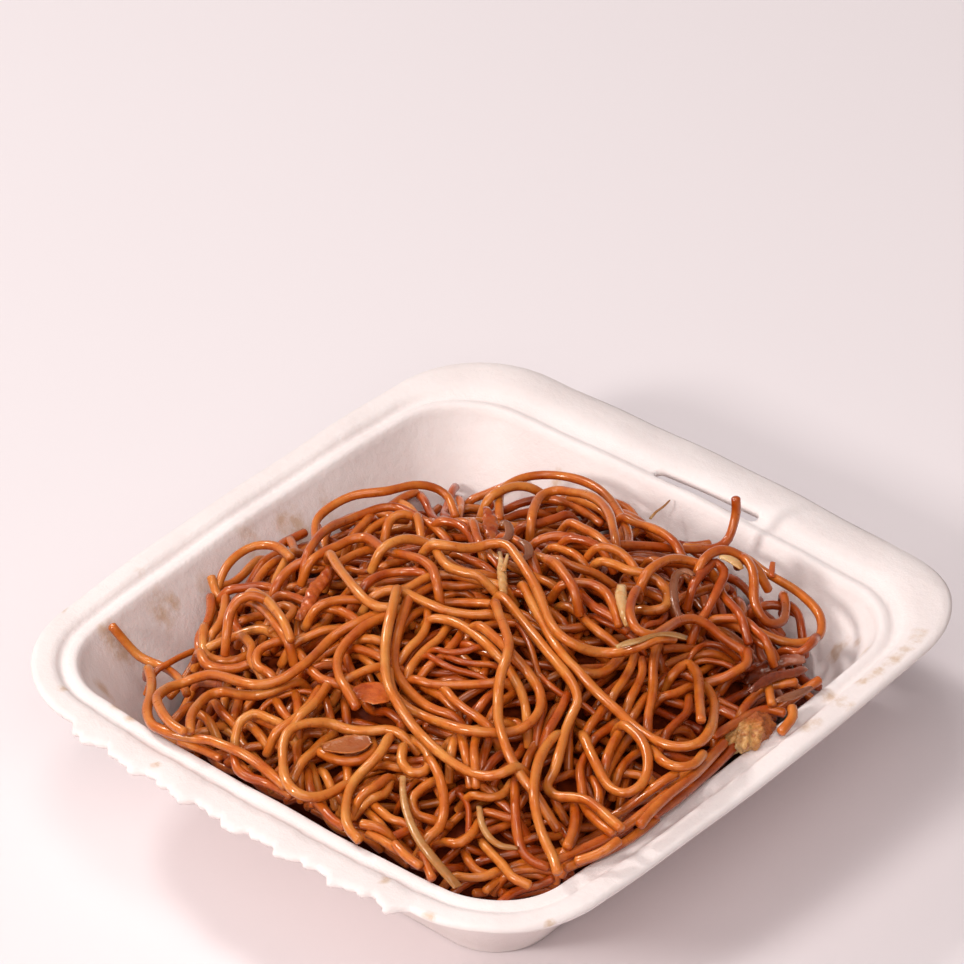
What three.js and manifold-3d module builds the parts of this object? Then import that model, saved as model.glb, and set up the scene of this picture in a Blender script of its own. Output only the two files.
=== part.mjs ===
// Fried noodles heaped in the lower half of a moulded pulp takeaway box, with its scraps of topping.
// Millimetres, +Z up. The origin is the middle of the flat foot: +Y is the side with the locking
// slot, -Y the side where the lid was torn off.
import * as THREE from 'three';
import { mergeVertices } from 'three/addons/utils/BufferGeometryUtils.js';
import Module from 'manifold-3d';

const wasm = await Module();
wasm.setup();

// ---------------------------------------------------------------- driving dimensions

const GAP = 0.3; // clearance between solids that touch

// The tray. A reach is half of the width across the flats, from the middle to a side's end.
const FOOT_REACH = 46.3;
const FOOT_RADIUS = 13.75;
const FOOT_EDGE = 1.3; // rounding where the foot turns into the wall
const WALL = 1.2; // thickness of the pulp
const WALL_TOP_REACH = 64;
const WALL_TOP_Z = 34;
const GROOVE_REACH = 68.6;
const GROOVE_RADIUS = 20.9;
const GROOVE_Z = 35.7;
const BEAD_Z = 36.4; // crown of the rounded bead inside the groove
const FLANGE_REACH = 75;
const FLANGE_Z = 37;
const SIDE_BOW = 1.5; // how far the middle of each side swells out at the rim
const SLOT_SIDE_EXTRA = 9.25; // the flange is this much wider along +Y
const SLOT_SIDE_DROOP = 2.2; // and its edge hangs this much lower
const DROOP_START_Y = 73;
const TORN_HALF_LENGTH = 47; // the lid's torn hinge strip, along -Y
const TORN_PROUD = 2.4;
const TORN_RAGGED = 0.75;

const SLOT_MIDDLE = new THREE.Vector2(4.1, 70.6);
const SLOT_LENGTH = 28;
const SLOT_WIDTH = 2.8;
const SLOT_TURN = THREE.MathUtils.degToRad(2);

const SIDE_STEPS = 4;
const TORN_STEPS = 20;
const CORNER_STEPS = 5;

// The heap: a dome whose foot meets the middle of the +X, +Y, -X and -Y walls at these heights,
// with a hollow towards three of the corners.
const HEAP_TOP_Z = 54;
const HEAP_FOOT_Z = [36, 32, 31, 36];
const HEAP_REACH = 63;
const HEAP_SQUARENESS = 3;
const HOLLOWS = [
  { x: -40, y: 36, depth: 11, spread: 17 },
  { x: -52, y: -50, depth: 13, spread: 14 },
  { x: 50, y: 52, depth: 7, spread: 11 },
];
const CORE_SINK = 2.2; // the solid core lies this far under the tops of the noodles
const CORE_RINGS = 5;
const CORE_SIDE_STEPS = 3;
const CORE_CORNER_STEPS = 3;

// The noodles.
const NOODLE_RADIUS = 1.25;
const NOODLE_SIDES = 5;
const NOODLE_STEP = 5.2;
const NOODLE_SPOTS = 125; // places tried; not every one has room for a noodle
const NOODLE_LONGEST = 95;
const NOODLE_SHORTEST = 30;
const NOODLE_LEAST = 16; // one that is cut shorter than this is left out
const NOODLE_BEND = [0.03, 0.1]; // least and most, in radians a millimetre
const NOODLE_SUNK = 1.1; // how deep a noodle is set into the core
const NOODLE_PILE = 5; // no scattered noodle rises further over the tops
const NOODLE_APART = 0.12; // between one noodle and the next that crosses it
const NOODLE_STIFFNESS = 3; // it bends over this many millimetres each way
const NOODLE_TRIES = 40;
const SPOT_TRIES = 60;
const SPOT_ROOM = 10;
const WALL_SHYNESS = 7; // noodles turn away within this distance of the wall
const SEED = 20;

// Routes of the noodles that stand clear of the heap. A point with no height lies on the core.
const STANDING_NOODLES = [
  // a loose end that leans on the wall of the left corner
  [[-38, -50], [-45, -45.5], [-51.5, -43.5], [-57, -44.6, 30], [-63, -47.3, 37.8]],
  // a stub over the -X wall
  [[-46, -27], [-52, -24], [-56.5, -21.6, 35], [-59.5, -20, 38]],
  // a low loop beside it
  [[-48, -31], [-54.5, -24, 33.5], [-58, -16, 37], [-57.5, -9, 38.2], [-52.8, -6.3, 39.3], [-45, -9]],
  // the big arch over the hollow of the back corner
  [[-38, -7], [-44, -2.5, 42.3], [-49.4, 4, 42.6], [-48.1, 12.8, 43.8], [-43.2, 18.7, 44.2],
    [-40, 26.5, 43], [-35.9, 30, 40.5], [-29, 26]],
  // loops along the slot side
  [[-23, 33], [-29.9, 41.5, 37.5], [-29.9, 47.7, 37.3], [-26.9, 52.6, 37], [-20.6, 55.3, 37.5],
    [-13.2, 55.1, 38], [-5, 51.4, 38.5], [3.7, 44.6, 40.5], [10, 37]],
  // a long one whose end stands up by the slot
  [[4, 24], [9, 32.3], [13.3, 40.5], [18, 48], [21.3, 55.6, 39.6], [20.6, 60.4, 44.5],
    [19.6, 61.4, 50]],
  // a loop round the right corner
  [[15, 50], [23.5, 56.5, 37.7], [34.5, 55.1, 38], [43.1, 54.2, 38], [50.5, 52, 37],
    [54.6, 46.4, 36.5], [52, 40, 37.5], [44, 36]],
  // an end on the +X bead
  [[60, 17], [62, 23.5, 34.4], [63.8, 29.5, 36.8], [65.5, 34.5, 38.4]],
];

// The toppings. A place is over the plan; its turn is in degrees.
const TOPPINGS = [
  { name: 'fried_piece', color: 0xc98a4b, radii: [4, 6.6, 1.9], at: { x: 65.2, y: 11, turn: -6 } },
  {
    name: 'pepper_piece',
    color: 0x9c3a14,
    flakeSize: { length: 8, width: 7, thickness: 1.3, curl: 0.8, wave: 0.15 },
    at: { x: 3.5, y: -38.5, turn: 20 },
  },
  {
    name: 'onion_slice',
    color: 0xc88f5a,
    flakeSize: { length: 12, width: 5.5, thickness: 1.3, curl: 1.1, wave: 0.2 },
    at: { x: 8.5, y: -50.3, turn: 22 },
  },
  {
    name: 'meat_shred',
    color: 0xa84a1e,
    route: [[-30.5, -10.5], [-29.5, -16.5], [-28, -21.8], [-25.5, -27], [-23, -30.5]],
    stripSize: { width: 4, thickness: 2, steps: 7 },
  },
  {
    name: 'pork_strip',
    color: 0x6e2f22,
    route: [[54.2, 21], [54.8, 27], [54.2, 34], [52, 42.5]],
    stripSize: { width: 3.6, thickness: 2.2, steps: 7 },
  },
  {
    name: 'pork_sliver',
    color: 0x7a3a2a,
    route: [[58.6, 22.5], [58.8, 28], [57.6, 34]],
    stripSize: { width: 2.4, thickness: 1.5, steps: 5 },
  },
  {
    name: 'stalk_long',
    color: 0xc2a55c,
    route: [[19, -45.5], [22.5, -49.6], [27, -53.6], [33, -57], [39.5, -58.9], [45, -59.3]],
    stripSize: { width: 2.6, thickness: 1.5, steps: 11 },
  },
  {
    name: 'stalk_short',
    color: 0xc4a860,
    route: [[38.5, -43.6], [41.5, -46.6], [45, -48.2], [49.5, -47.6]],
    stripSize: { width: 2.1, thickness: 1.4, steps: 6 },
  },
  {
    name: 'sprout_back',
    color: 0xc99b62,
    route: [[-3, 10.7], [2.2, 6.3], [7, 2.2], [10.4, -1]],
    stripSize: { width: 2.4, thickness: 1.6, steps: 7 },
  },
  {
    name: 'sprout_side',
    color: 0xd0a468,
    route: [[21.2, 20.6], [25.2, 17.2], [29.6, 14]],
    stripSize: { width: 2.4, thickness: 1.5, steps: 5 },
  },
  {
    name: 'leaf_strip',
    color: 0x9aa05a,
    route: [[33.6, 3.4], [35.6, 9], [37.7, 14.7], [39.9, 19.8]],
    stripSize: { width: 2.8, thickness: 1.2, steps: 7 },
  },
];

// ---------------------------------------------------------------- small helpers

const clamp = THREE.MathUtils.clamp;
const lerp = THREE.MathUtils.lerp;

function seededRandom(seed) {
  let state = seed >>> 0;
  return () => {
    state = (state + 0x6d2b79f5) >>> 0;
    let t = state;
    t = Math.imul(t ^ (t >>> 15), t | 1);
    t ^= t + Math.imul(t ^ (t >>> 7), t | 61);
    return ((t ^ (t >>> 14)) >>> 0) / 4294967296;
  };
}

function shapeOnly(geometry) {
  const plain = geometry.index ? geometry.toNonIndexed() : geometry.clone();
  plain.deleteAttribute('normal');
  plain.deleteAttribute('uv');
  return mergeVertices(plain, 1e-4);
}

function toSolid(geometry) {
  const merged = shapeOnly(geometry);
  return new wasm.Manifold(new wasm.Mesh({
    numProp: 3,
    vertProperties: new Float32Array(merged.attributes.position.array),
    triVerts: new Uint32Array(merged.index.array),
  }));
}

function toGeometry(solid) {
  const { vertProperties, triVerts } = solid.getMesh();
  const geometry = new THREE.BufferGeometry();
  geometry.setAttribute('position', new THREE.BufferAttribute(new Float32Array(vertProperties), 3));
  geometry.setIndex(new THREE.BufferAttribute(new Uint32Array(triVerts), 1));
  return geometry;
}

// A closed body through a stack of rings of equal length, with a fan over each end. The rings run
// anticlockwise seen from the far end, so the faces point out.
function loft(rings) {
  const count = rings[0].length;
  const points = rings.flat();
  const faces = [];
  for (let r = 0; r + 1 < rings.length; r += 1) {
    for (let k = 0; k < count; k += 1) {
      const a = r * count + k;
      const b = r * count + ((k + 1) % count);
      faces.push(a, b, b + count, a, b + count, a + count);
    }
  }
  const middle = (ring) => ring.reduce((sum, p) => sum.add(p), new THREE.Vector3())
    .divideScalar(count);
  const start = points.push(middle(rings[0])) - 1;
  const end = points.push(middle(rings[rings.length - 1])) - 1;
  const last = (rings.length - 1) * count;
  for (let k = 0; k < count; k += 1) {
    const next = (k + 1) % count;
    faces.push(start, next, k, end, last + k, last + next);
  }
  const geometry = new THREE.BufferGeometry().setFromPoints(points);
  geometry.setIndex(faces);
  return geometry;
}

// The largest closed shell of a mesh: loose scraps and the walls of sealed hollows are dropped.
function largestShell(geometry) {
  const merged = shapeOnly(geometry);
  const { position } = merged.attributes;
  const index = merged.index.array;
  const parent = Array.from({ length: position.count }, (_, i) => i);
  const find = (i) => {
    let root = i;
    while (parent[root] !== root) {
      parent[root] = parent[parent[root]];
      root = parent[root];
    }
    return root;
  };
  for (let t = 0; t < index.length; t += 3) {
    parent[find(index[t])] = find(index[t + 1]);
    parent[find(index[t + 1])] = find(index[t + 2]);
  }
  const faceCounts = new Map();
  for (let t = 0; t < index.length; t += 3) {
    const shell = find(index[t]);
    faceCounts.set(shell, (faceCounts.get(shell) ?? 0) + 1);
  }
  const [biggest] = [...faceCounts.entries()].sort((a, b) => b[1] - a[1])[0];
  const kept = [];
  for (let t = 0; t < index.length; t += 3) {
    if (find(index[t]) === biggest) kept.push(index[t], index[t + 1], index[t + 2]);
  }
  merged.setIndex(kept);
  return shapeOnly(merged);
}

// ---------------------------------------------------------------- tray

// Points of a rounded square, from the corner at -X -Y and anticlockwise from above. The middle of
// each side swells out by bow, and edge(x) pushes the -Y side out further.
function roundedSquare({
  reach, radius, bow = 0, extra = 0, edge = () => 0,
  nearSteps = TORN_STEPS, sideSteps = SIDE_STEPS, cornerSteps = CORNER_STEPS,
}) {
  const flat = reach - radius;
  const top = flat + extra;
  const swell = (t) => bow * (1 - (2 * t - 1) ** 2);
  const points = [];
  for (let i = 0; i < nearSteps; i += 1) {
    const x = lerp(-flat, flat, i / nearSteps);
    points.push([x, -reach - swell(i / nearSteps) - edge(x)]);
  }
  const corner = (cx, cy, from) => {
    for (let i = 0; i < cornerSteps; i += 1) {
      const angle = from + (i / cornerSteps) * (Math.PI / 2);
      points.push([cx + radius * Math.cos(angle), cy + radius * Math.sin(angle)]);
    }
  };
  corner(flat, -flat, -Math.PI / 2);
  for (let i = 0; i < sideSteps; i += 1) {
    points.push([reach + swell(i / sideSteps), lerp(-flat, top, i / sideSteps)]);
  }
  corner(flat, top, 0);
  for (let i = 0; i < sideSteps; i += 1) {
    points.push([lerp(flat, -flat, i / sideSteps), reach + extra + swell(i / sideSteps)]);
  }
  corner(-flat, top, Math.PI / 2);
  for (let i = 0; i < sideSteps; i += 1) {
    points.push([-reach - swell(i / sideSteps), lerp(top, -flat, i / sideSteps)]);
  }
  corner(-flat, -flat, Math.PI);
  return points;
}

// How far the torn strip stands proud of the flange at x: irregular teeth, none past its ends.
function tornEdge(x) {
  const end = clamp((TORN_HALF_LENGTH - Math.abs(x)) / 3, 0, 1);
  const teeth = Math.sin(x * 0.43 + 1) + 0.7 * Math.sin(x * 0.91) + 0.5 * Math.sin(x * 1.7 + 2);
  return end * (TORN_PROUD + TORN_RAGGED * teeth);
}

// One ring of the tray at a reach and a height. Past the groove it is part of the flange, which is
// wider and droops on the slot side and is ragged on the hinge side.
function trayRing(reach, z) {
  const onFlange = clamp((reach - GROOVE_REACH) / (FLANGE_REACH - GROOVE_REACH), 0, 1);
  const rise = clamp((reach - FOOT_REACH) / (WALL_TOP_REACH - FOOT_REACH), 0, 1);
  const topRadius = GROOVE_RADIUS + WALL_TOP_REACH - GROOVE_REACH;
  const radius = reach > WALL_TOP_REACH
    ? GROOVE_RADIUS + reach - GROOVE_REACH
    : lerp(FOOT_RADIUS + Math.min(reach - FOOT_REACH, 0), topRadius, rise);
  const outline = roundedSquare({
    reach,
    radius,
    bow: SIDE_BOW * rise,
    extra: SLOT_SIDE_EXTRA * onFlange,
    edge: (x) => onFlange * tornEdge(x),
  });
  const droopLength = FLANGE_REACH + SLOT_SIDE_EXTRA - DROOP_START_Y;
  return outline.map(([x, y]) => {
    const droop = clamp((y - DROOP_START_Y) / droopLength, 0, 1) ** 2 * SLOT_SIDE_DROOP;
    return new THREE.Vector3(x, y, z - droop);
  });
}

function slotCutter() {
  const half = (SLOT_LENGTH - SLOT_WIDTH) / 2;
  const outline = new THREE.Shape();
  outline.absarc(half, 0, SLOT_WIDTH / 2, -Math.PI / 2, Math.PI / 2);
  outline.absarc(-half, 0, SLOT_WIDTH / 2, Math.PI / 2, Math.PI * 1.5);
  const depth = 8;
  const cutter = new THREE.ExtrudeGeometry(outline, { depth, bevelEnabled: false, curveSegments: 6 });
  cutter.rotateZ(SLOT_TURN);
  cutter.translate(SLOT_MIDDLE.x, SLOT_MIDDLE.y, FLANGE_Z - depth / 2);
  return cutter;
}

function trayGeometry() {
  const under = [
    [FOOT_REACH - FOOT_EDGE, 0],
    [FOOT_REACH, FOOT_EDGE],
    [WALL_TOP_REACH + WALL, WALL_TOP_Z - WALL / 2],
    [WALL_TOP_REACH + 2.2, BEAD_Z - WALL],
    [GROOVE_REACH - 1.6, BEAD_Z - WALL],
    [GROOVE_REACH - 0.2, GROOVE_Z - WALL],
    [GROOVE_REACH + 0.5, GROOVE_Z - WALL],
    [GROOVE_REACH + 2.2, FLANGE_Z - WALL - 0.2],
    [FLANGE_REACH - 2.5, FLANGE_Z - WALL - 0.2],
    [FLANGE_REACH - 0.4, FLANGE_Z - WALL - 0.5],
  ];
  const over = [
    [FLANGE_REACH, FLANGE_Z - 0.8],
    [FLANGE_REACH - 0.5, FLANGE_Z - 0.1],
    [FLANGE_REACH - 2.5, FLANGE_Z],
    [GROOVE_REACH + 1.4, FLANGE_Z - 0.1],
    [GROOVE_REACH + 0.3, GROOVE_Z + 0.1],
    [GROOVE_REACH - 0.5, GROOVE_Z],
    [GROOVE_REACH - 1.8, BEAD_Z - 0.1],
    [GROOVE_REACH - 3, BEAD_Z - 0.1],
    [WALL_TOP_REACH + 0.7, lerp(WALL_TOP_Z, BEAD_Z, 0.55)],
    [WALL_TOP_REACH, WALL_TOP_Z],
    [FOOT_REACH + 0.2, WALL + 1.6],
    [FOOT_REACH - 1.4, WALL + 0.3],
    [FOOT_REACH - 3.5, WALL],
  ];
  const body = toSolid(loft([...under, ...over].map(([reach, z]) => trayRing(reach, z))));
  return toGeometry(body.subtract(toSolid(slotCutter())));
}

// ---------------------------------------------------------------- heap

// Reach of the tray's inside at a height.
function cavityReach(z) {
  const t = (z - WALL - 1.6) / (WALL_TOP_Z - WALL - 1.6);
  return lerp(FOOT_REACH + 0.2, WALL_TOP_REACH, clamp(t, 0, 1));
}

// How far a point is inside the tray's wall, along the level. Negative is past it.
function wallMargin(x, y, z) {
  const reach = cavityReach(z);
  const rise = clamp((reach - FOOT_REACH) / (WALL_TOP_REACH - FOOT_REACH), 0, 1);
  const radius = lerp(FOOT_RADIUS, GROOVE_RADIUS + WALL_TOP_REACH - GROOVE_REACH, rise);
  const dx = Math.abs(x) - (reach - radius);
  const dy = Math.abs(y) - (reach - radius);
  return radius - (dx > 0 && dy > 0 ? Math.hypot(dx, dy) : Math.max(dx, dy));
}

// Height of the noodles' tops over the plan.
function heapTop(x, y) {
  const turn = ((Math.atan2(y, x) / (Math.PI / 2)) + 4) % 4;
  const before = Math.floor(turn) % 4;
  const blend = (1 - Math.cos(Math.PI * (turn - Math.floor(turn)))) / 2;
  const foot = lerp(HEAP_FOOT_Z[before], HEAP_FOOT_Z[(before + 1) % 4], blend);
  const p = HEAP_SQUARENESS;
  const out = (Math.abs(x) ** p + Math.abs(y) ** p) ** (1 / p) / HEAP_REACH;
  const slump = HOLLOWS.reduce((sum, hollow) => {
    const away = ((x - hollow.x) ** 2 + (y - hollow.y) ** 2) / (2 * hollow.spread ** 2);
    return sum + hollow.depth * Math.exp(-away);
  }, 0);
  return foot + (HEAP_TOP_Z - foot) * (1 - out ** 2) - slump;
}

const coreTop = (x, y) => heapTop(x, y) - CORE_SINK;

// The core fills the tray up to coreTop, a gap clear of its wall and floor.
function coreGeometry() {
  const floor = WALL + GAP + 0.1;
  const side = GAP + 0.2;
  const coarse = {
    nearSteps: CORE_SIDE_STEPS, sideSteps: CORE_SIDE_STEPS, cornerSteps: CORE_CORNER_STEPS,
  };
  const cavityRing = (z) => {
    const reach = cavityReach(z) - side;
    const rise = clamp((reach - FOOT_REACH) / (WALL_TOP_REACH - FOOT_REACH), 0, 1);
    const radius = lerp(FOOT_RADIUS - 1, GROOVE_RADIUS + WALL_TOP_REACH - GROOVE_REACH - side, rise);
    return roundedSquare({ reach, radius, bow: SIDE_BOW * rise * 0.8, ...coarse });
  };
  const plan = cavityRing(floor);
  const edgeZ = plan.map((_, k) => {
    let low = floor;
    let high = WALL_TOP_Z;
    for (let i = 0; i < 24; i += 1) {
      const z = (low + high) / 2;
      const [x, y] = cavityRing(z)[k];
      if (coreTop(x, y) > z) low = z;
      else high = z;
    }
    return low;
  });
  const rings = [];
  const foot = roundedSquare({ reach: FOOT_REACH - 4, radius: FOOT_RADIUS - 3, ...coarse });
  rings.push(foot.map(([x, y]) => new THREE.Vector3(x, y, floor)));
  const wallRing = (heights) => plan.map((_, k) => {
    const [x, y] = cavityRing(heights[k])[k];
    return new THREE.Vector3(x, y, heights[k]);
  });
  rings.push(wallRing(plan.map(() => WALL + 2.2)), wallRing(edgeZ));
  const rim = rings[rings.length - 1];
  for (let r = 1; r < CORE_RINGS; r += 1) {
    const scale = 1 - r / CORE_RINGS;
    rings.push(rim.map((p) => new THREE.Vector3(
      p.x * scale,
      p.y * scale,
      coreTop(p.x * scale, p.y * scale),
    )));
  }
  return loft(rings);
}

// A map of heights over the plan in cells of one millimetre. Each noodle that is laid raises it,
// so that the next one lies over it.
class HeightMap {
  constructor(half, surface, ceiling) {
    this.half = half;
    this.size = 2 * half + 1;
    this.z = new Float64Array(this.size ** 2);
    this.cover = new Uint8Array(this.size ** 2);
    this.ceiling = new Float64Array(this.size ** 2);
    for (let cell = 0; cell < this.z.length; cell += 1) {
      const x = (cell % this.size) - half;
      const y = Math.floor(cell / this.size) - half;
      this.z[cell] = surface(x, y);
      this.ceiling[cell] = ceiling(x, y);
    }
  }

  near(x, y, radius, visit) {
    const span = Math.ceil(radius);
    const cx = Math.round(x);
    const cy = Math.round(y);
    for (let j = cy - span; j <= cy + span; j += 1) {
      for (let i = cx - span; i <= cx + span; i += 1) {
        const distance = Math.hypot(i - x, j - y);
        const inside = Math.abs(i) <= this.half && Math.abs(j) <= this.half;
        if (inside && distance <= radius) {
          visit((j + this.half) * this.size + i + this.half, distance);
        }
      }
    }
  }

  highest(x, y, radius) {
    let top = -Infinity;
    this.near(x, y, radius, (cell) => {
      top = Math.max(top, this.z[cell]);
    });
    return top;
  }

  lay(points) {
    points.forEach((p) => this.near(p.x, p.y, NOODLE_RADIUS, (cell, distance) => {
      const top = p.z + Math.sqrt(NOODLE_RADIUS ** 2 - distance ** 2) + NOODLE_APART;
      this.z[cell] = Math.max(this.z[cell], top);
      this.cover[cell] = 1;
    }));
  }

  // Brings the ceiling down round these points. What is laid later stays below it.
  lowerCeiling(points, room, heightOf) {
    points.forEach((p) => this.near(p.x, p.y, room, (cell) => {
      this.ceiling[cell] = Math.min(this.ceiling[cell], heightOf(p));
    }));
  }

  hasRoom(p) {
    let room = true;
    this.near(p.x, p.y, NOODLE_RADIUS, (cell) => {
      if (p.z + NOODLE_RADIUS > this.ceiling[cell]) room = false;
    });
    return room;
  }

  // Counts the surroundings of a spot where no noodle fits as covered.
  giveUp(spot) {
    this.near(spot.x, spot.y, SPOT_ROOM / 2, (cell) => {
      this.cover[cell] = 1;
    });
  }

  // How many cells round these points have room for a noodle and have none yet.
  bareCells(points, room) {
    const bare = new Set();
    points.forEach((p) => this.near(p.x, p.y, room, (cell) => {
      if (!this.cover[cell] && this.ceiling[cell] > this.z[cell]) bare.add(cell);
    }));
    return bare.size;
  }
}

// The barest of several random places on the heap.
function bareSpot(random, map) {
  let best = { bare: -1 };
  for (let tries = 0; tries < SPOT_TRIES; tries += 1) {
    const spot = new THREE.Vector3(lerp(-1, 1, random()), lerp(-1, 1, random()), 0);
    spot.multiplyScalar(HEAP_REACH);
    spot.z = map.highest(spot.x, spot.y, 1);
    const bare = map.hasRoom(spot) ? map.bareCells([spot], SPOT_ROOM) : -1;
    if (bare > best.bare) best = { spot, bare };
  }
  return best.spot;
}

// The plan of a slack noodle: its bend swings to and fro, and it turns back from the wall.
function wander(random, length, start) {
  let { x, y } = start;
  let heading = random() * 2 * Math.PI;
  const bend = lerp(...NOODLE_BEND, random());
  const phases = [random() * 2 * Math.PI, random() * 2 * Math.PI];
  const waves = [lerp(14, 30, random()), lerp(6, 12, random())];
  const points = [];
  for (let s = 0; s <= length; s += 1) {
    points.push(new THREE.Vector3(x, y, 0));
    const swing = Math.sin(s / waves[0] + phases[0]) + 0.6 * Math.sin(s / waves[1] + phases[1]);
    const margin = wallMargin(x, y, coreTop(x, y));
    const inward = Math.atan2(-y, -x) - heading;
    const shy = clamp((WALL_SHYNESS - margin) / WALL_SHYNESS, 0, 1.3);
    heading += bend * swing + 0.22 * shy * Math.sign(Math.sin(inward));
    x += Math.cos(heading);
    y += Math.sin(heading);
  }
  return points;
}

// Sets the heights of a noodle's path so that it is sunk into the core and passes over the noodles
// laid before it. It is stiff: it starts to rise well before a crossing and comes down after it.
function layHeights(points, map) {
  const last = points.length - 1;
  const around = (values, i) => {
    const near = [];
    for (let k = -NOODLE_STIFFNESS; k <= NOODLE_STIFFNESS; k += 1) {
      near.push(values[clamp(i + k, 0, last)]);
    }
    return near;
  };
  const bare = points.map((p) => map.highest(p.x, p.y, NOODLE_RADIUS) + NOODLE_RADIUS);
  const raised = bare.map((_, i) => Math.max(...around(bare, i)));
  points.forEach((p, i) => {
    const near = around(raised, i);
    p.z = near.reduce((sum, z) => sum + z, 0) / near.length;
  });
}

// A path cut short where it has no room, or would meet itself.
function shorten(points, map) {
  const apart = 2 * NOODLE_RADIUS + 0.5;
  const meetsItself = (p, i) => points
    .slice(0, Math.max(0, i - 8))
    .some((before) => Math.hypot(before.x - p.x, before.y - p.y) < apart);
  const end = points.findIndex((p, i) => !map.hasRoom(p) || meetsItself(p, i));
  return end < 0 ? points : points.slice(0, end);
}

// Whether a noodle lies in the core for some of its length, so that it is fused to it.
function isHeld(points, surface) {
  const sunk = points.filter((p) => p.z < surface(p.x, p.y) + 0.6 * NOODLE_RADIUS);
  return sunk.length > 2 * NOODLE_RADIUS;
}

function noodleGeometry(points) {
  const path = new THREE.CatmullRomCurve3(points, false, 'centripetal');
  const section = new THREE.Shape();
  for (let k = 0; k < NOODLE_SIDES; k += 1) {
    const turn = (k / NOODLE_SIDES) * 2 * Math.PI;
    const to = [NOODLE_RADIUS * Math.cos(turn), NOODLE_RADIUS * Math.sin(turn)];
    if (k === 0) section.moveTo(...to);
    else section.lineTo(...to);
  }
  const steps = Math.max(4, Math.round(path.getLength() / NOODLE_STEP));
  return new THREE.ExtrudeGeometry(section, { steps, extrudePath: path, bevelEnabled: false });
}

// The noodles that stand clear of the heap. Where one is in the air only what fits under it is laid.
function standingNoodles(map, surface) {
  return STANDING_NOODLES.map((route) => {
    const set = NOODLE_RADIUS - NOODLE_SUNK;
    const stops = route.map(([x, y, z]) => new THREE.Vector3(x, y, z ?? surface(x, y) + set));
    const curve = new THREE.CatmullRomCurve3(stops, false, 'centripetal');
    const points = curve.getSpacedPoints(Math.round(curve.getLength()));
    const aloft = (p) => p.z - map.highest(p.x, p.y, 1) > 3 * NOODLE_RADIUS;
    map.lowerCeiling(points.filter(aloft), NOODLE_RADIUS + 0.5, (p) => p.z - NOODLE_RADIUS);
    map.lay(points.filter((p) => !aloft(p)));
    return noodleGeometry(points.filter((_, i) => i % 3 === 0 || i === points.length - 1));
  });
}

// The noodles on the heap, longest first. Each starts at a bare spot and takes, of several paths
// from there, the one that covers the most bare core.
function scatteredNoodles(map, surface) {
  const random = seededRandom(SEED);
  const noodles = [];
  for (let n = 0; n < NOODLE_SPOTS; n += 1) {
    const length = lerp(NOODLE_LONGEST, NOODLE_SHORTEST, n / (NOODLE_SPOTS - 1));
    const spot = bareSpot(random, map);
    let best = { bare: 0 };
    for (let tries = 0; tries < NOODLE_TRIES; tries += 1) {
      const wandering = wander(random, length, spot);
      layHeights(wandering, map);
      const points = shorten(wandering, map);
      if (points.length >= NOODLE_LEAST && isHeld(points, surface)) {
        const bare = map.bareCells(points, 2 * NOODLE_RADIUS);
        if (bare > best.bare) best = { points, bare };
      }
    }
    if (best.points) {
      map.lay(best.points);
      noodles.push(noodleGeometry(best.points.filter((_, i) => i % 3 === 0)));
    } else {
      map.giveUp(spot);
    }
  }
  return noodles;
}

// ---------------------------------------------------------------- toppings

// An uneven lump: a ball drawn out to three radii, with a few soft bumps.
function lump([rx, ry, rz], bumps) {
  const geometry = new THREE.IcosahedronGeometry(1, 2);
  const { position } = geometry.attributes;
  const p = new THREE.Vector3();
  for (let i = 0; i < position.count; i += 1) {
    p.fromBufferAttribute(position, i).normalize();
    const bump = Math.sin(3.1 * p.x + 1) * Math.sin(2.7 * p.y + 2) + 0.6 * Math.sin(5 * p.y - 2 * p.x);
    p.multiplyScalar(1 + bumps * bump);
    position.setXYZ(i, p.x * rx, p.y * ry, p.z * rz);
  }
  return shapeOnly(geometry);
}

// A thin wavy flake: an oval sheet, curled up along its length, with both faces meshed alike.
function flake({ length, width, thickness, curl, wave }) {
  const around = 12;
  const scales = [0.35, 0.7, 1];
  const ring = (scale, lift) => Array.from({ length: around }, (_, k) => {
    const turn = (k / around) * 2 * Math.PI;
    const uneven = 1 + 0.1 * Math.sin(3 * turn + 1) + 0.06 * Math.sin(5 * turn);
    const x = (scale * uneven * length * Math.cos(turn)) / 2;
    const y = (scale * uneven * width * Math.sin(turn)) / 2;
    const bend = curl * ((2 * x) / length) ** 2;
    return new THREE.Vector3(x, y, bend + wave * Math.sin(x + 0.7 * y) + lift * (1 - 0.4 * scale));
  });
  const under = scales.map((scale) => ring(scale, 0));
  const over = scales.map((scale) => ring(scale, thickness)).reverse();
  return loft([...under, ...over]);
}

// A flat strip along a route over the plan, lying on the surface below it and tapered at its ends.
function strip({ route, width, thickness, steps }, surface) {
  const plan = new THREE.CatmullRomCurve3(route.map(([x, y]) => new THREE.Vector3(x, y, 0)));
  const around = 8;
  const up = new THREE.Vector3(0, 0, 1);
  const rings = [];
  for (let i = 0; i <= steps; i += 1) {
    const t = i / steps;
    const centre = plan.getPointAt(t);
    const side = new THREE.Vector3().crossVectors(up, plan.getTangentAt(t)).normalize();
    centre.z = surface(centre.x, centre.y) + thickness / 2;
    const taper = 0.55 + 0.45 * Math.sqrt(Math.sin(Math.PI * clamp(t, 0.02, 0.98)));
    rings.push(Array.from({ length: around }, (_, k) => {
      const turn = (k / around) * 2 * Math.PI;
      const out = (taper * width * Math.cos(turn)) / 2;
      const rise = (taper * thickness * Math.sin(turn)) / 2;
      return centre.clone().addScaledVector(side, out).addScaledVector(up, rise);
    }));
  }
  return loft(rings);
}

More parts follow.
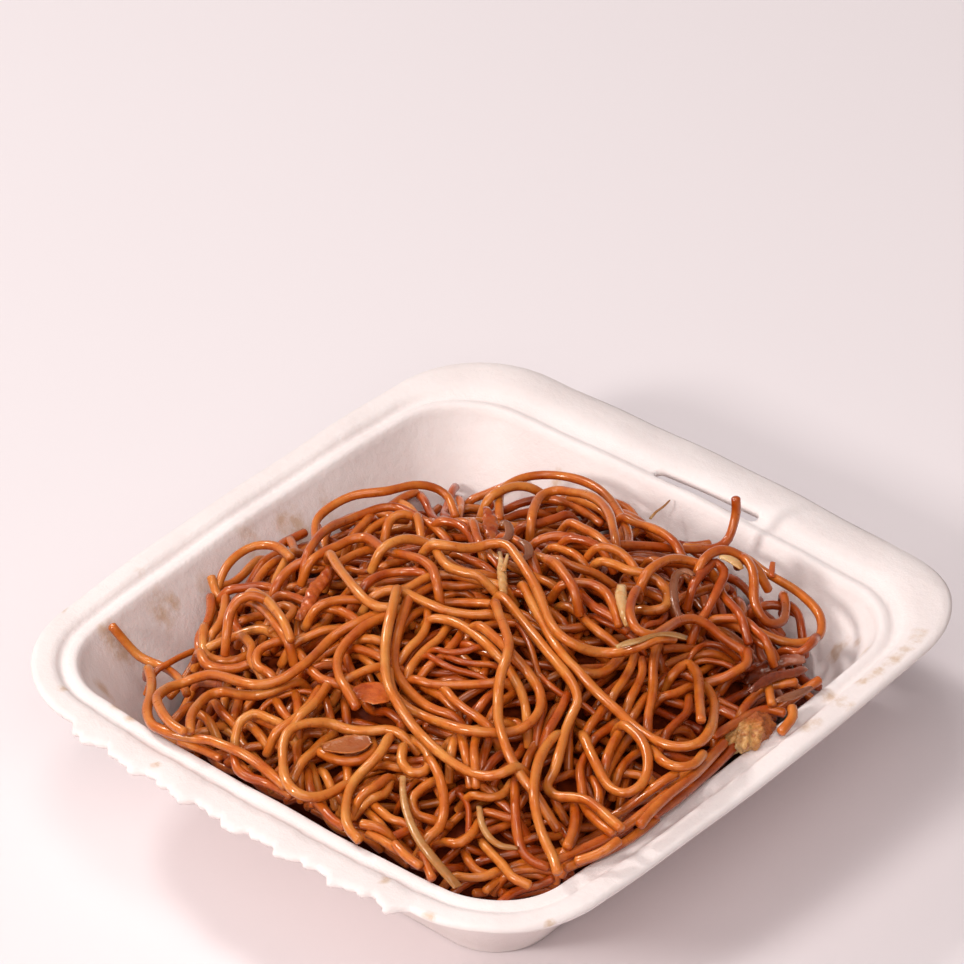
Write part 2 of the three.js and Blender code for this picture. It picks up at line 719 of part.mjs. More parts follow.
// Tilts a piece to the slope at its place, turns it there, and moves it over that place.
function place(geometry, { x, y, turn }, surface) {
  const span = 3;
  const slopeX = (surface(x + span, y) - surface(x - span, y)) / (2 * span);
  const slopeY = (surface(x, y + span) - surface(x, y - span)) / (2 * span);
  const normal = new THREE.Vector3(-slopeX, -slopeY, 1).normalize();
  const tilt = new THREE.Quaternion().setFromUnitVectors(new THREE.Vector3(0, 0, 1), normal);
  geometry.rotateZ(THREE.MathUtils.degToRad(turn));
  geometry.applyQuaternion(tilt);
  geometry.translate(x, y, 0);
  return geometry;
}

// Lets a piece down until its nearest point is a gap above the surface.
function settle(geometry, surface) {
  const { position } = geometry.attributes;
  let lift = -Infinity;
  for (let i = 0; i < position.count; i += 1) {
    const floor = surface(position.getX(i), position.getY(i)) + GAP;
    lift = Math.max(lift, floor - position.getZ(i));
  }
  return geometry.translate(0, 0, lift);
}

function toppingGeometry(topping, surface) {
  const { radii, flakeSize, stripSize } = topping;
  if (stripSize) return settle(strip({ ...stripSize, route: topping.route }, surface), surface);
  const piece = radii ? lump(radii, 0.1) : flake(flakeSize);
  return settle(place(piece, topping.at, surface), surface);
}

// ---------------------------------------------------------------- object

const group = new THREE.Group();

function addMesh(name, geometry, color, roughness) {
  const material = new THREE.MeshStandardMaterial({ color, roughness, metalness: 0 });
  const mesh = new THREE.Mesh(geometry, material);
  mesh.name = name;
  group.add(mesh);
  return mesh;
}

// Height of the highest of these meshes at a place in the plan.
function surfaceOver(meshes) {
  const down = new THREE.Vector3(0, 0, -1);
  const caster = new THREE.Raycaster();
  return (x, y) => {
    caster.set(new THREE.Vector3(x, y, 2 * HEAP_TOP_Z), down);
    const [hit] = caster.intersectObjects(meshes);
    return hit ? hit.point.z : 0;
  };
}

const tray = addMesh('pulp_tray', trayGeometry(), 0xece0dc, 0.85);
const core = new THREE.Mesh(coreGeometry());
const bareSurface = surfaceOver([tray, core]);
const map = new HeightMap(
  Math.ceil(WALL_TOP_REACH),
  (x, y) => bareSurface(x, y) - NOODLE_SUNK,
  (x, y) => (wallMargin(x, y, coreTop(x, y)) > 2 * GAP ? heapTop(x, y) + NOODLE_PILE : -Infinity),
);

TOPPINGS.forEach((topping) => {
  const mesh = addMesh(topping.name, toppingGeometry(topping, bareSurface), topping.color, 0.4);
  const { position } = mesh.geometry.attributes;
  const points = Array.from({ length: position.count }, (_, i) => (
    new THREE.Vector3().fromBufferAttribute(position, i)
  ));
  map.lowerCeiling(points, 3 * GAP, () => -Infinity);
});

const noodles = [...standingNoodles(map, bareSurface), ...scatteredNoodles(map, bareSurface)];
const heap = noodles.reduce((body, noodle) => body.add(toSolid(noodle)), toSolid(core.geometry));
addMesh('noodle_heap', largestShell(toGeometry(heap)), 0xb5651d, 0.35);

export default group;
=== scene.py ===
"""Looks for fried noodles heaped in a moulded pulp takeaway tray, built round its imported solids.

The row frame: origin at the middle of the foot, +Y the side with the locking slot, -Y the side
where the lid was torn off, +Z up. Lengths are millimetres up to the making of each mesh.
"""
import math

import bpy
import numpy as np
from mathutils import Matrix, Vector


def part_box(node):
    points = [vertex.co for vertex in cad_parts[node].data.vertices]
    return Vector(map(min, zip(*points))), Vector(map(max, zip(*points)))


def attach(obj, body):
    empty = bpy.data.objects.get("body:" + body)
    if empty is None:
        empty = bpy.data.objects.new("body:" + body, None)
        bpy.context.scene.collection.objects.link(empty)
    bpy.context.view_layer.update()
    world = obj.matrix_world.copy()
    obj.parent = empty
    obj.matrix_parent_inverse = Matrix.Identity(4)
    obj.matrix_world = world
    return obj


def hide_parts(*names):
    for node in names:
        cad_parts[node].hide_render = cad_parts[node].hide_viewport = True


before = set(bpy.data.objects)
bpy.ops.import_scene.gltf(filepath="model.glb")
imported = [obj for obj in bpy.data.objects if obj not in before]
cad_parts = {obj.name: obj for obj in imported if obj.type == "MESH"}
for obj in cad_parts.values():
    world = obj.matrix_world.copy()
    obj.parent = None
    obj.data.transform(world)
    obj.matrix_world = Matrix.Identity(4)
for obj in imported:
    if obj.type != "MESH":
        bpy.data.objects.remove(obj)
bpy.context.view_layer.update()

MM = 0.001

# ---------------------------------------------------------------- camera

PHOTO_SIZE = 964
CAMERA_AZIMUTH = 41.992
CAMERA_ELEVATION = 36.572
CAMERA_ROLL = -1.359
CAMERA_DISTANCE = 1310.234
CAMERA_TARGET = np.array([-4.638, 7.292, 71.525])
FOCAL_PIXELS = 6260.701
SENSOR_MM = 36


def camera_axes():
    """Right, up and back of the camera, as rows."""
    a = math.radians(CAMERA_AZIMUTH)
    e = math.radians(CAMERA_ELEVATION)
    r = math.radians(CAMERA_ROLL)
    back = np.array([math.sin(a) * math.cos(e), -math.cos(a) * math.cos(e), math.sin(e)])
    right = np.array([math.cos(a), math.sin(a), 0])
    up = np.cross(back, right)
    return np.array([
        right * math.cos(r) + up * math.sin(r),
        up * math.cos(r) - right * math.sin(r),
        back,
    ])


CAMERA_AXES = camera_axes()
CAMERA_PLACE = CAMERA_TARGET + CAMERA_AXES[2] * CAMERA_DISTANCE


def sight_lines(pixels):
    """Directions from the camera through these pixels, each with a fall of one along Z."""
    centred = (np.asarray(pixels, float) - PHOTO_SIZE / 2) / FOCAL_PIXELS
    rays = centred[:, :1] * CAMERA_AXES[0] - centred[:, 1:] * CAMERA_AXES[1] - CAMERA_AXES[2]
    return -rays / rays[:, 2:]


def make_camera():
    data = bpy.data.cameras.new("camera")
    data.sensor_width = SENSOR_MM
    data.lens = FOCAL_PIXELS / PHOTO_SIZE * SENSOR_MM
    camera = bpy.data.objects.new("camera", data)
    turn = Matrix(CAMERA_AXES.T.tolist()).to_4x4()
    camera.matrix_world = Matrix.Translation(Vector(CAMERA_PLACE * MM)) @ turn
    bpy.context.scene.collection.objects.link(camera)
    bpy.context.scene.camera = camera


# ---------------------------------------------------------------- meshes

class Builder:
    """Collects vertices, quads and triangles, with one or more values at each vertex."""

    def __init__(self):
        self.points = []
        self.faces = []
        self.values = {}
        self.count = 0

    def add(self, points, faces, **values):
        """faces is a list of arrays of corner numbers, each array with faces of one size."""
        self.points.append(points)
        self.faces += [array + self.count for array in faces]
        for name, value in values.items():
            self.values.setdefault(name, []).append(np.broadcast_to(value, len(points)))
        self.count += len(points)

    def make(self, name, material, replaced=()):
        points = np.concatenate(self.points) * MM
        sizes = np.concatenate([np.full(len(f), f.shape[1]) for f in self.faces])
        corners = np.concatenate([f.ravel() for f in self.faces])
        mesh = bpy.data.meshes.new(name)
        mesh.vertices.add(len(points))
        mesh.vertices.foreach_set("co", points.astype(np.float32).ravel())
        mesh.loops.add(len(corners))
        mesh.loops.foreach_set("vertex_index", corners.astype(np.int32))
        mesh.polygons.add(len(sizes))
        mesh.polygons.foreach_set("loop_start", np.cumsum(sizes) - sizes)
        mesh.polygons.foreach_set("use_smooth", np.ones(len(sizes), bool))
        for key, parts in self.values.items():
            attribute = mesh.attributes.new(key, "FLOAT", "POINT")
            attribute.data.foreach_set("value", np.concatenate(parts).astype(np.float32))
        mesh.update(calc_edges=True)
        mesh.validate()
        mesh.materials.append(material)
        piece = bpy.data.objects.new(name, mesh)
        bpy.context.scene.collection.objects.link(piece)
        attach(piece, "root")
        if replaced:
            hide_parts(*replaced)
        return piece


def ring_quads(rings, count):
    """Quads between a stack of rings of count points each. The rings run anticlockwise seen
    from the far end, so the faces point out."""
    r, k = np.meshgrid(np.arange(rings - 1), np.arange(count), indexing="ij")
    a = (r * count + k).ravel()
    b = (r * count + (k + 1) % count).ravel()
    return np.stack([a, b, b + count, a + count], axis=1)


def end_fans(rings, count):
    """Triangles from the first and the last ring to a middle point each, which come last."""
    k = np.arange(count)
    after = (k + 1) % count
    start = rings * count
    last = (rings - 1) * count
    return np.concatenate([
        np.stack([np.full(count, start), after, k], axis=1),
        np.stack([np.full(count, start + 1), last + k, last + after], axis=1),
    ])


def smoothed(points, step):
    """A path through the points with about step between one point and the next."""
    points = np.asarray(points, float)
    lengths = np.linalg.norm(np.diff(points, axis=0), axis=1)
    knots = np.concatenate([[0], np.cumsum(np.maximum(lengths, 1e-6))])
    padded = np.vstack([2 * points[0] - points[1], points, 2 * points[-1] - points[-2]])
    far = np.concatenate([[-lengths[0]], knots, [knots[-1] + lengths[-1]]])
    slopes = (padded[2:] - padded[:-2]) / (far[2:] - far[:-2])[:, None]
    wanted = np.linspace(0, knots[-1], max(3, int(round(knots[-1] / step)) + 1))
    i = np.clip(np.searchsorted(knots, wanted, side="right") - 1, 0, len(lengths) - 1)
    span = (knots[i + 1] - knots[i])[:, None]
    t = (wanted - knots[i])[:, None] / span
    return (
        (2 * t**3 - 3 * t**2 + 1) * points[i] + (t**3 - 2 * t**2 + t) * span * slopes[i]
        + (3 * t**2 - 2 * t**3) * points[i + 1] + (t**3 - t**2) * span * slopes[i + 1]
    )


ALMOST_UP = [0.05, 0.03, 1]  # never quite along a path that runs straight up


def unit_tangents(centres):
    tangents = np.gradient(centres, axis=0)
    return tangents / np.linalg.norm(tangents, axis=1)[:, None]


def across_and_above(tangents):
    """Level and upward directions square to a path, at each of its points."""
    across = np.cross(tangents, ALMOST_UP)
    across /= np.linalg.norm(across, axis=1)[:, None]
    return across, np.cross(across, tangents)


def angles(sides):
    return np.arange(sides) / sides * 2 * np.pi


def swept_faces(rings, sides):
    """Faces of a closed section swept along a path, with a point at each end."""
    return [ring_quads(rings, sides)[:, ::-1], end_fans(rings, sides)[:, ::-1]]


# ---------------------------------------------------------------- heap

HEAP_TOP_Z = 54
HEAP_FOOT_Z = [36, 32, 31, 36]  # at the middle of the +X, +Y, -X and -Y walls
HEAP_REACH = 63
HEAP_SQUARENESS = 3
HOLLOWS = [(-40, 36, 11, 17), (-52, -50, 13, 14), (50, 52, 7, 11)]  # x, y, depth, spread
WALL = 1.2
FOOT_REACH = 46.3
FOOT_RADIUS = 13.75
WALL_TOP_REACH = 64
WALL_TOP_RADIUS = 16.3
WALL_TOP_Z = 34
BEAD_Z = 36.4


def heap_top(x, y):
    """Height of the noodles' tops over the plan."""
    turn = (np.arctan2(y, x) / (np.pi / 2) + 4) % 4
    before = np.floor(turn).astype(int) % 4
    blend = (1 - np.cos(np.pi * (turn - np.floor(turn)))) / 2
    feet = np.array(HEAP_FOOT_Z, float)
    foot = feet[before] * (1 - blend) + feet[(before + 1) % 4] * blend
    p = HEAP_SQUARENESS
    out = (np.abs(x)**p + np.abs(y)**p)**(1 / p) / HEAP_REACH
    slump = sum(
        depth * np.exp(-((x - cx)**2 + (y - cy)**2) / (2 * spread**2))
        for cx, cy, depth, spread in HOLLOWS
    )
    return foot + (HEAP_TOP_Z - foot) * (1 - out**2) - slump


def wall_margin(x, y, z):
    """How far a point is inside the tray's wall, along the level. Negative is past it."""
    rise = np.clip((z - WALL - 1.6) / (WALL_TOP_Z - WALL - 1.6), 0, 1)
    reach = FOOT_REACH + 0.2 + (WALL_TOP_REACH - FOOT_REACH - 0.2) * rise
    radius = FOOT_RADIUS + (WALL_TOP_RADIUS - FOOT_RADIUS) * rise
    dx = np.abs(x) - (reach - radius)
    dy = np.abs(y) - (reach - radius)
    round_corner = np.hypot(np.maximum(dx, 0), np.maximum(dy, 0))
    return radius - np.where((dx > 0) & (dy > 0), round_corner, np.maximum(dx, dy))


def wall_side(x, y):
    """Height of the tray's inner side over the plan, up to the bead."""
    levels = np.linspace(WALL + 1.6, WALL_TOP_Z, 40)
    past = sum((wall_margin(x, y, z) < 0).astype(float) for z in levels) / len(levels)
    return np.where(past < 1, levels[0] + (levels[-1] - levels[0]) * past, BEAD_Z)


class Pile:
    """Heights over the plan in small cells. Each noodle that is laid raises them."""

    CELL = 0.5
    HALF = 68

    def __init__(self, depth):
        """The pile starts this far below the heap's top, and reaches the tray's sides."""
        side = np.arange(-self.HALF, self.HALF + self.CELL / 2, self.CELL)
        self.x, self.y = np.meshgrid(side, side)
        self.top = heap_top(self.x, self.y)
        self.z = np.maximum(self.top - depth, wall_side(self.x, self.y))
        self.base = self.z.copy()
        self.margin = wall_margin(self.x, self.y, self.top)
        self.ceiling = self.top

    def limit(self, over_top):
        """Noodles are strewn up to this height over the heap's top, and inside the tray alone."""
        self.ceiling = np.where(self.margin > 0.4, self.top + over_top, -np.inf)

    def cells(self, points, radius):
        """Rows and columns of the cells within radius of each point, and their distances."""
        span = int(math.ceil(radius / self.CELL))
        dj, di = np.mgrid[-span:span + 1, -span:span + 1]
        near = np.hypot(dj, di) * self.CELL <= radius
        dj, di = dj[near], di[near]
        middle = np.rint((points[:, :2] + self.HALF) / self.CELL).astype(int)
        rows = np.clip(middle[:, 1:] + dj, 0, self.z.shape[0] - 1)
        columns = np.clip(middle[:, :1] + di, 0, self.z.shape[1] - 1)
        apart = np.hypot(self.x[rows, columns] - points[:, :1], self.y[rows, columns] - points[:, 1:2])
        return rows, columns, apart

    def highest(self, points, radius):
        rows, columns, _ = self.cells(points, radius)
        return self.z[rows, columns].max(axis=1)

    def headroom(self, points, radius):
        rows, columns, _ = self.cells(points, radius)
        return self.ceiling[rows, columns].min(axis=1) - points[:, 2] - radius

    def margin_at(self, x, y):
        """Distance from the wall, at the height of the heap's top."""
        last = len(self.margin) - 1
        row = np.clip(np.rint((y + self.HALF) / self.CELL).astype(int), 0, last)
        column = np.clip(np.rint((x + self.HALF) / self.CELL).astype(int), 0, last)
        return self.margin[row, column]

    def lay(self, points, radius):
        rows, columns, apart = self.cells(points, radius)
        top = points[:, 2:3] + np.sqrt(np.maximum(radius**2 - apart**2, 0))
        np.maximum.at(self.z, (rows, columns), np.where(apart <= radius, top, -np.inf))


def around(values, reach):
    """For each value, it and its neighbours up to reach each way, as a row."""
    padded = np.pad(values, reach, mode="edge")
    return np.lib.stride_tricks.sliding_window_view(padded, 2 * reach + 1)


NOODLE_RADIUS = 1.0
STIFFNESS = 3


def eased(heights):
    """Heights of a stiff noodle: it rises before a crossing and comes down after it."""
    raised = around(heights, STIFFNESS).max(axis=1)
    return around(raised, STIFFNESS).mean(axis=1)


SHY_OF_WALL = 3  # millimetres from the wall where a noodle starts to turn back
SPOTS = 9  # places looked at for each strewn noodle
SHORTEST = 11  # points of a strewn noodle that is kept


def wander(random, pile, length, start, tries):
    """Plans of slack noodles from a place, one millimetre a step, as an array of one row each.
    They swing to and fro, and turn back from the wall."""
    x = np.full(tries, float(start[0]))
    y = np.full(tries, float(start[1]))
    heading = random.uniform(0, 2 * np.pi, tries)
    bend = random.uniform(0.03, 0.11, tries)
    phases = random.uniform(0, 2 * np.pi, (2, tries))
    long_waves = random.uniform(12, 28, tries)
    short_waves = random.uniform(5, 11, tries)
    points = np.zeros((tries, length, 3))
    for s in range(length):
        points[:, s, 0] = x
        points[:, s, 1] = y
        swing = np.sin(s / long_waves + phases[0]) + 0.6 * np.sin(s / short_waves + phases[1])
        shy = np.clip((SHY_OF_WALL - pile.margin_at(x, y)) / SHY_OF_WALL, 0, 1.6)
        inward = np.arctan2(-y, -x) - heading
        heading += bend * swing + 0.22 * shy * np.sign(np.sin(inward))
        x += np.cos(heading)
        y += np.sin(heading)
    return points


def first_failure(allowed):
    """How many leading entries are allowed."""
    return len(allowed) if allowed.all() else int(np.argmin(allowed))


def scatter(pile, random, count, lengths, radius, tries):
    """Noodles strewn over the pile where it is lowest, each cut where it has no room."""
    laid = []
    for _ in range(count):
        spots = np.zeros((SPOTS, 3))
        spots[:, :2] = random.uniform(-HEAP_REACH, HEAP_REACH, (SPOTS, 2))
        spots[:, 2] = pile.highest(spots, radius) + radius
        room = pile.headroom(spots, radius)
        if room.max() <= 0:
            continue
        paths = wander(random, pile, int(random.uniform(*lengths)), spots[np.argmax(room)], tries)
        best, best_gain = None, 0
        for path in paths:
            path[:, 2] = eased(pile.highest(path, radius) + radius)
            room = pile.headroom(path, radius)
            kept = first_failure(room > 0)
            gain = room[:kept].sum()
            if kept > SHORTEST and gain > best_gain:
                best, best_gain = path[:kept], gain
        if best is not None:
            pile.lay(best, radius)
            laid.append(best)
    return laid


SIGHT_LEVELS = np.arange(72, 20, -0.4)  # heights at which a sight line is tried
VIEW_STEP = 5  # pixels, about a millimetre
STEEPEST = 0.7  # fall from one point of a course to the next


def laid_in_view(pile, pixels, radius, reach=None):
    """Brings a course of view pixels onto the pile. Each point stays on its sight line, a radius
    over the highest cell within reach."""
    lines = sight_lines(smoothed(pixels, VIEW_STEP))
    spots = CAMERA_PLACE + (CAMERA_PLACE[2] - SIGHT_LEVELS)[:, None] * lines[:, None]
    highest = pile.highest(spots.reshape(-1, 3), reach or radius)
    rests = highest.reshape(len(lines), -1) + radius
    meets = rests >= SIGHT_LEVELS
    meets[:, -1] = True
    levels = SIGHT_LEVELS[np.argmax(meets, axis=1)]
    apart = np.abs(np.subtract.outer(np.arange(len(levels)), np.arange(len(levels))))
    levels = eased((levels - STEEPEST * apart).max(axis=1))
    return CAMERA_PLACE + (CAMERA_PLACE[2] - levels)[:, None] * lines


# painted light and shade across the heap: the noodles' tint falls from pale at the left of the view to
# dark at the right
SIDE_SHADE_SPAN = 260  # millimetres from the palest noodles to the darkest
DIVE = np.array([[1.6, -0.5], [2.9, -1.7], [3.9, -3.3], [4.5, -5]])  # along, up
TIP_SIZES = [0.05, 0.6, 0.9]  # of the rounded end's rings, in radii
TIP_BACKS = [0.55, 0.42, 0.2]  # of those rings past the course's end, in radii


def tucked_in(pile, path, radius):
    """Leads both ends of a course down between its neighbours, and never through the tray."""
    ends = []
    inner = min(3, len(path) - 1)
    for end, before in ((path[0], path[inner]), (path[-1], path[-1 - inner])):
        along = (end - before)[:2]
        along = along / np.linalg.norm(along)
        dive = np.column_stack([end[:2] + DIVE[:, :1] * along, end[2] + DIVE[:, 1]])
        rows, columns, _ = pile.cells(dive, radius)
        clear = dive[:, 2] >= pile.base[rows, columns].max(axis=1) + radius
        clear &= pile.margin_at(dive[:, 0], dive[:, 1]) > 2 * radius
        ends.append(dive[:first_failure(clear)])
    return np.vstack([ends[0][::-1], path, ends[1]])


def add_noodle(builder, path, radius, sides, step, random, tints=(0, 1)):
    """Sweeps a round section along the path, a little uneven, with blunt rounded ends. The
    noodles are painted paler towards the left corner as painted light, and darker towards the right as
    painted shade."""
    centres = smoothed(path[::3] if len(path) > 9 else path, step)
    tangents = unit_tangents(centres)
    backs = np.array(TIP_BACKS)[:, None] * radius
    centres = np.vstack([
        centres[0] - tangents[0] * backs, centres, centres[-1] + tangents[-1] * backs[::-1],
    ])
    tips = len(TIP_SIZES)
    tangents = np.vstack([[tangents[0]] * tips, tangents, [tangents[-1]] * tips])
    sizes = np.concatenate([TIP_SIZES, np.ones(len(centres) - 2 * tips), TIP_SIZES[::-1]])
    s = np.arange(len(centres)) * step
    phases = random.uniform(0, 2 * np.pi, 2)
    sizes *= 1 + 0.045 * np.sin(s / 4.7 + phases[0]) + 0.03 * np.sin(s / 1.9 + phases[1])
    across, above = across_and_above(tangents)
    turn = angles(sides)
    rings = centres[:, None] + radius * sizes[:, None, None] * (
        np.cos(turn)[None, :, None] * across[:, None] + np.sin(turn)[None, :, None] * above[:, None]
    )
    points = np.vstack([rings.reshape(-1, 3), centres[:1], centres[-1:]])
    # crown is 1 on top of the section and -1 under it; the material paints shade on the underside from
    # it
    crown = np.append(np.tile(np.sin(turn), len(centres)), [0, 0])
    # painted light and shade: the tint drops from the left of the view to the right
    side_shade = points[:, :2] @ CAMERA_AXES[0, :2] / SIDE_SHADE_SPAN
    tint = random.uniform(*tints) - side_shade
    builder.add(points, swept_faces(len(centres), sides), tint=tint, crown=crown)


# Routes in millimetres of the noodles that stand clear of the heap, as the solid heap has them.
STANDING_NOODLES = [
    # a loose end that leans on the wall of the left corner
    [(-38, -50, 33), (-45, -45.5, 31), (-51.5, -43.5, 29.5), (-57, -44.6, 30), (-63, -47.3, 37.8)],
    # a stub over the -X wall
    [(-46, -27, 36), (-52, -24, 34.5), (-56.5, -21.6, 35), (-59.5, -20, 38)],
    # a low loop beside it
    [(-48, -31, 34), (-54.5, -24, 33.5), (-58, -16, 37), (-57.5, -9, 38.2), (-52.8, -6.3, 39.3),
     (-45, -9, 41)],
    # the big arch over the hollow of the back corner
    [(-38, -7, 44), (-44, -2.5, 42.3), (-49.4, 4, 42.6), (-48.1, 12.8, 43.8), (-43.2, 18.7, 44.2),
     (-40, 26.5, 43), (-35.9, 30, 40.5), (-29, 26, 39)],
    # loops along the slot side
    [(-23, 33, 38), (-29.9, 41.5, 37.5), (-29.9, 47.7, 37.3), (-26.9, 52.6, 37),
     (-20.6, 55.3, 37.5), (-13.2, 55.1, 38), (-5, 51.4, 38.5), (3.7, 44.6, 40.5), (10, 37, 43)],
    # a long one whose end stands up by the slot
    [(4, 24, 49), (9, 32.3, 47), (13.3, 40.5, 44), (18, 48, 41), (21.3, 55.6, 39.6),
     (20.6, 60.4, 44.5), (19.6, 61.4, 50)],
    # a loop round the right corner
    [(15, 50, 39), (23.5, 56.5, 37.7), (34.5, 55.1, 38), (43.1, 54.2, 38), (50.5, 52, 37),
     (54.6, 46.4, 36.5), (52, 40, 37.5), (44, 36, 40)],
    # an end on the +X bead
    [(60, 17, 34), (62, 23.5, 34.4), (63.8, 29.5, 36.8), (65.5, 34.5, 38.4)],
]

# ---------------------------------------------------------------- noodles in view

# Courses of noodles as seen from the camera, in pixels from the left and the top of the view.
# Each list is laid in its order, so a later noodle crosses over an earlier one.
THIN_STRANDS = [
    [(432, 657), (447, 667), (465, 672), (483, 678)],
    [(440, 650), (455, 653), (470, 650), (480, 647)],
    [(450, 657), (465, 663), (483, 664), (496, 665)],
    [(520, 627), (529, 642), (534, 659), (538, 673)],
    [(540, 675), (549, 685), (561, 694), (575, 701), (589, 708)],
    [(551, 560), (561, 577), (571, 590), (579, 603)],
    [(596, 617), (608, 624), (620, 629), (630, 636)],
    [(693, 653), (700, 646), (711, 644), (720, 646)],
    [(697, 661), (709, 661), (720, 663), (731, 667)],
    [(716, 700), (726, 704), (739, 711)],
    [(459, 794), (466, 801), (469, 815), (468, 824)],
    [(377, 569), (366, 572), (352, 570), (345, 566)],
    [(272, 701), (284, 695), (298, 692), (313, 692)],
    [(161, 667), (171, 662), (182, 656), (193, 652)],
    [(482, 551), (491, 558), (498, 566)],
    [(412, 786), (420, 779), (430, 781), (436, 790)],
    [(546, 822), (554, 820), (561, 828)],
    [(658, 604), (668, 618), (660, 622), (645, 626)],
]
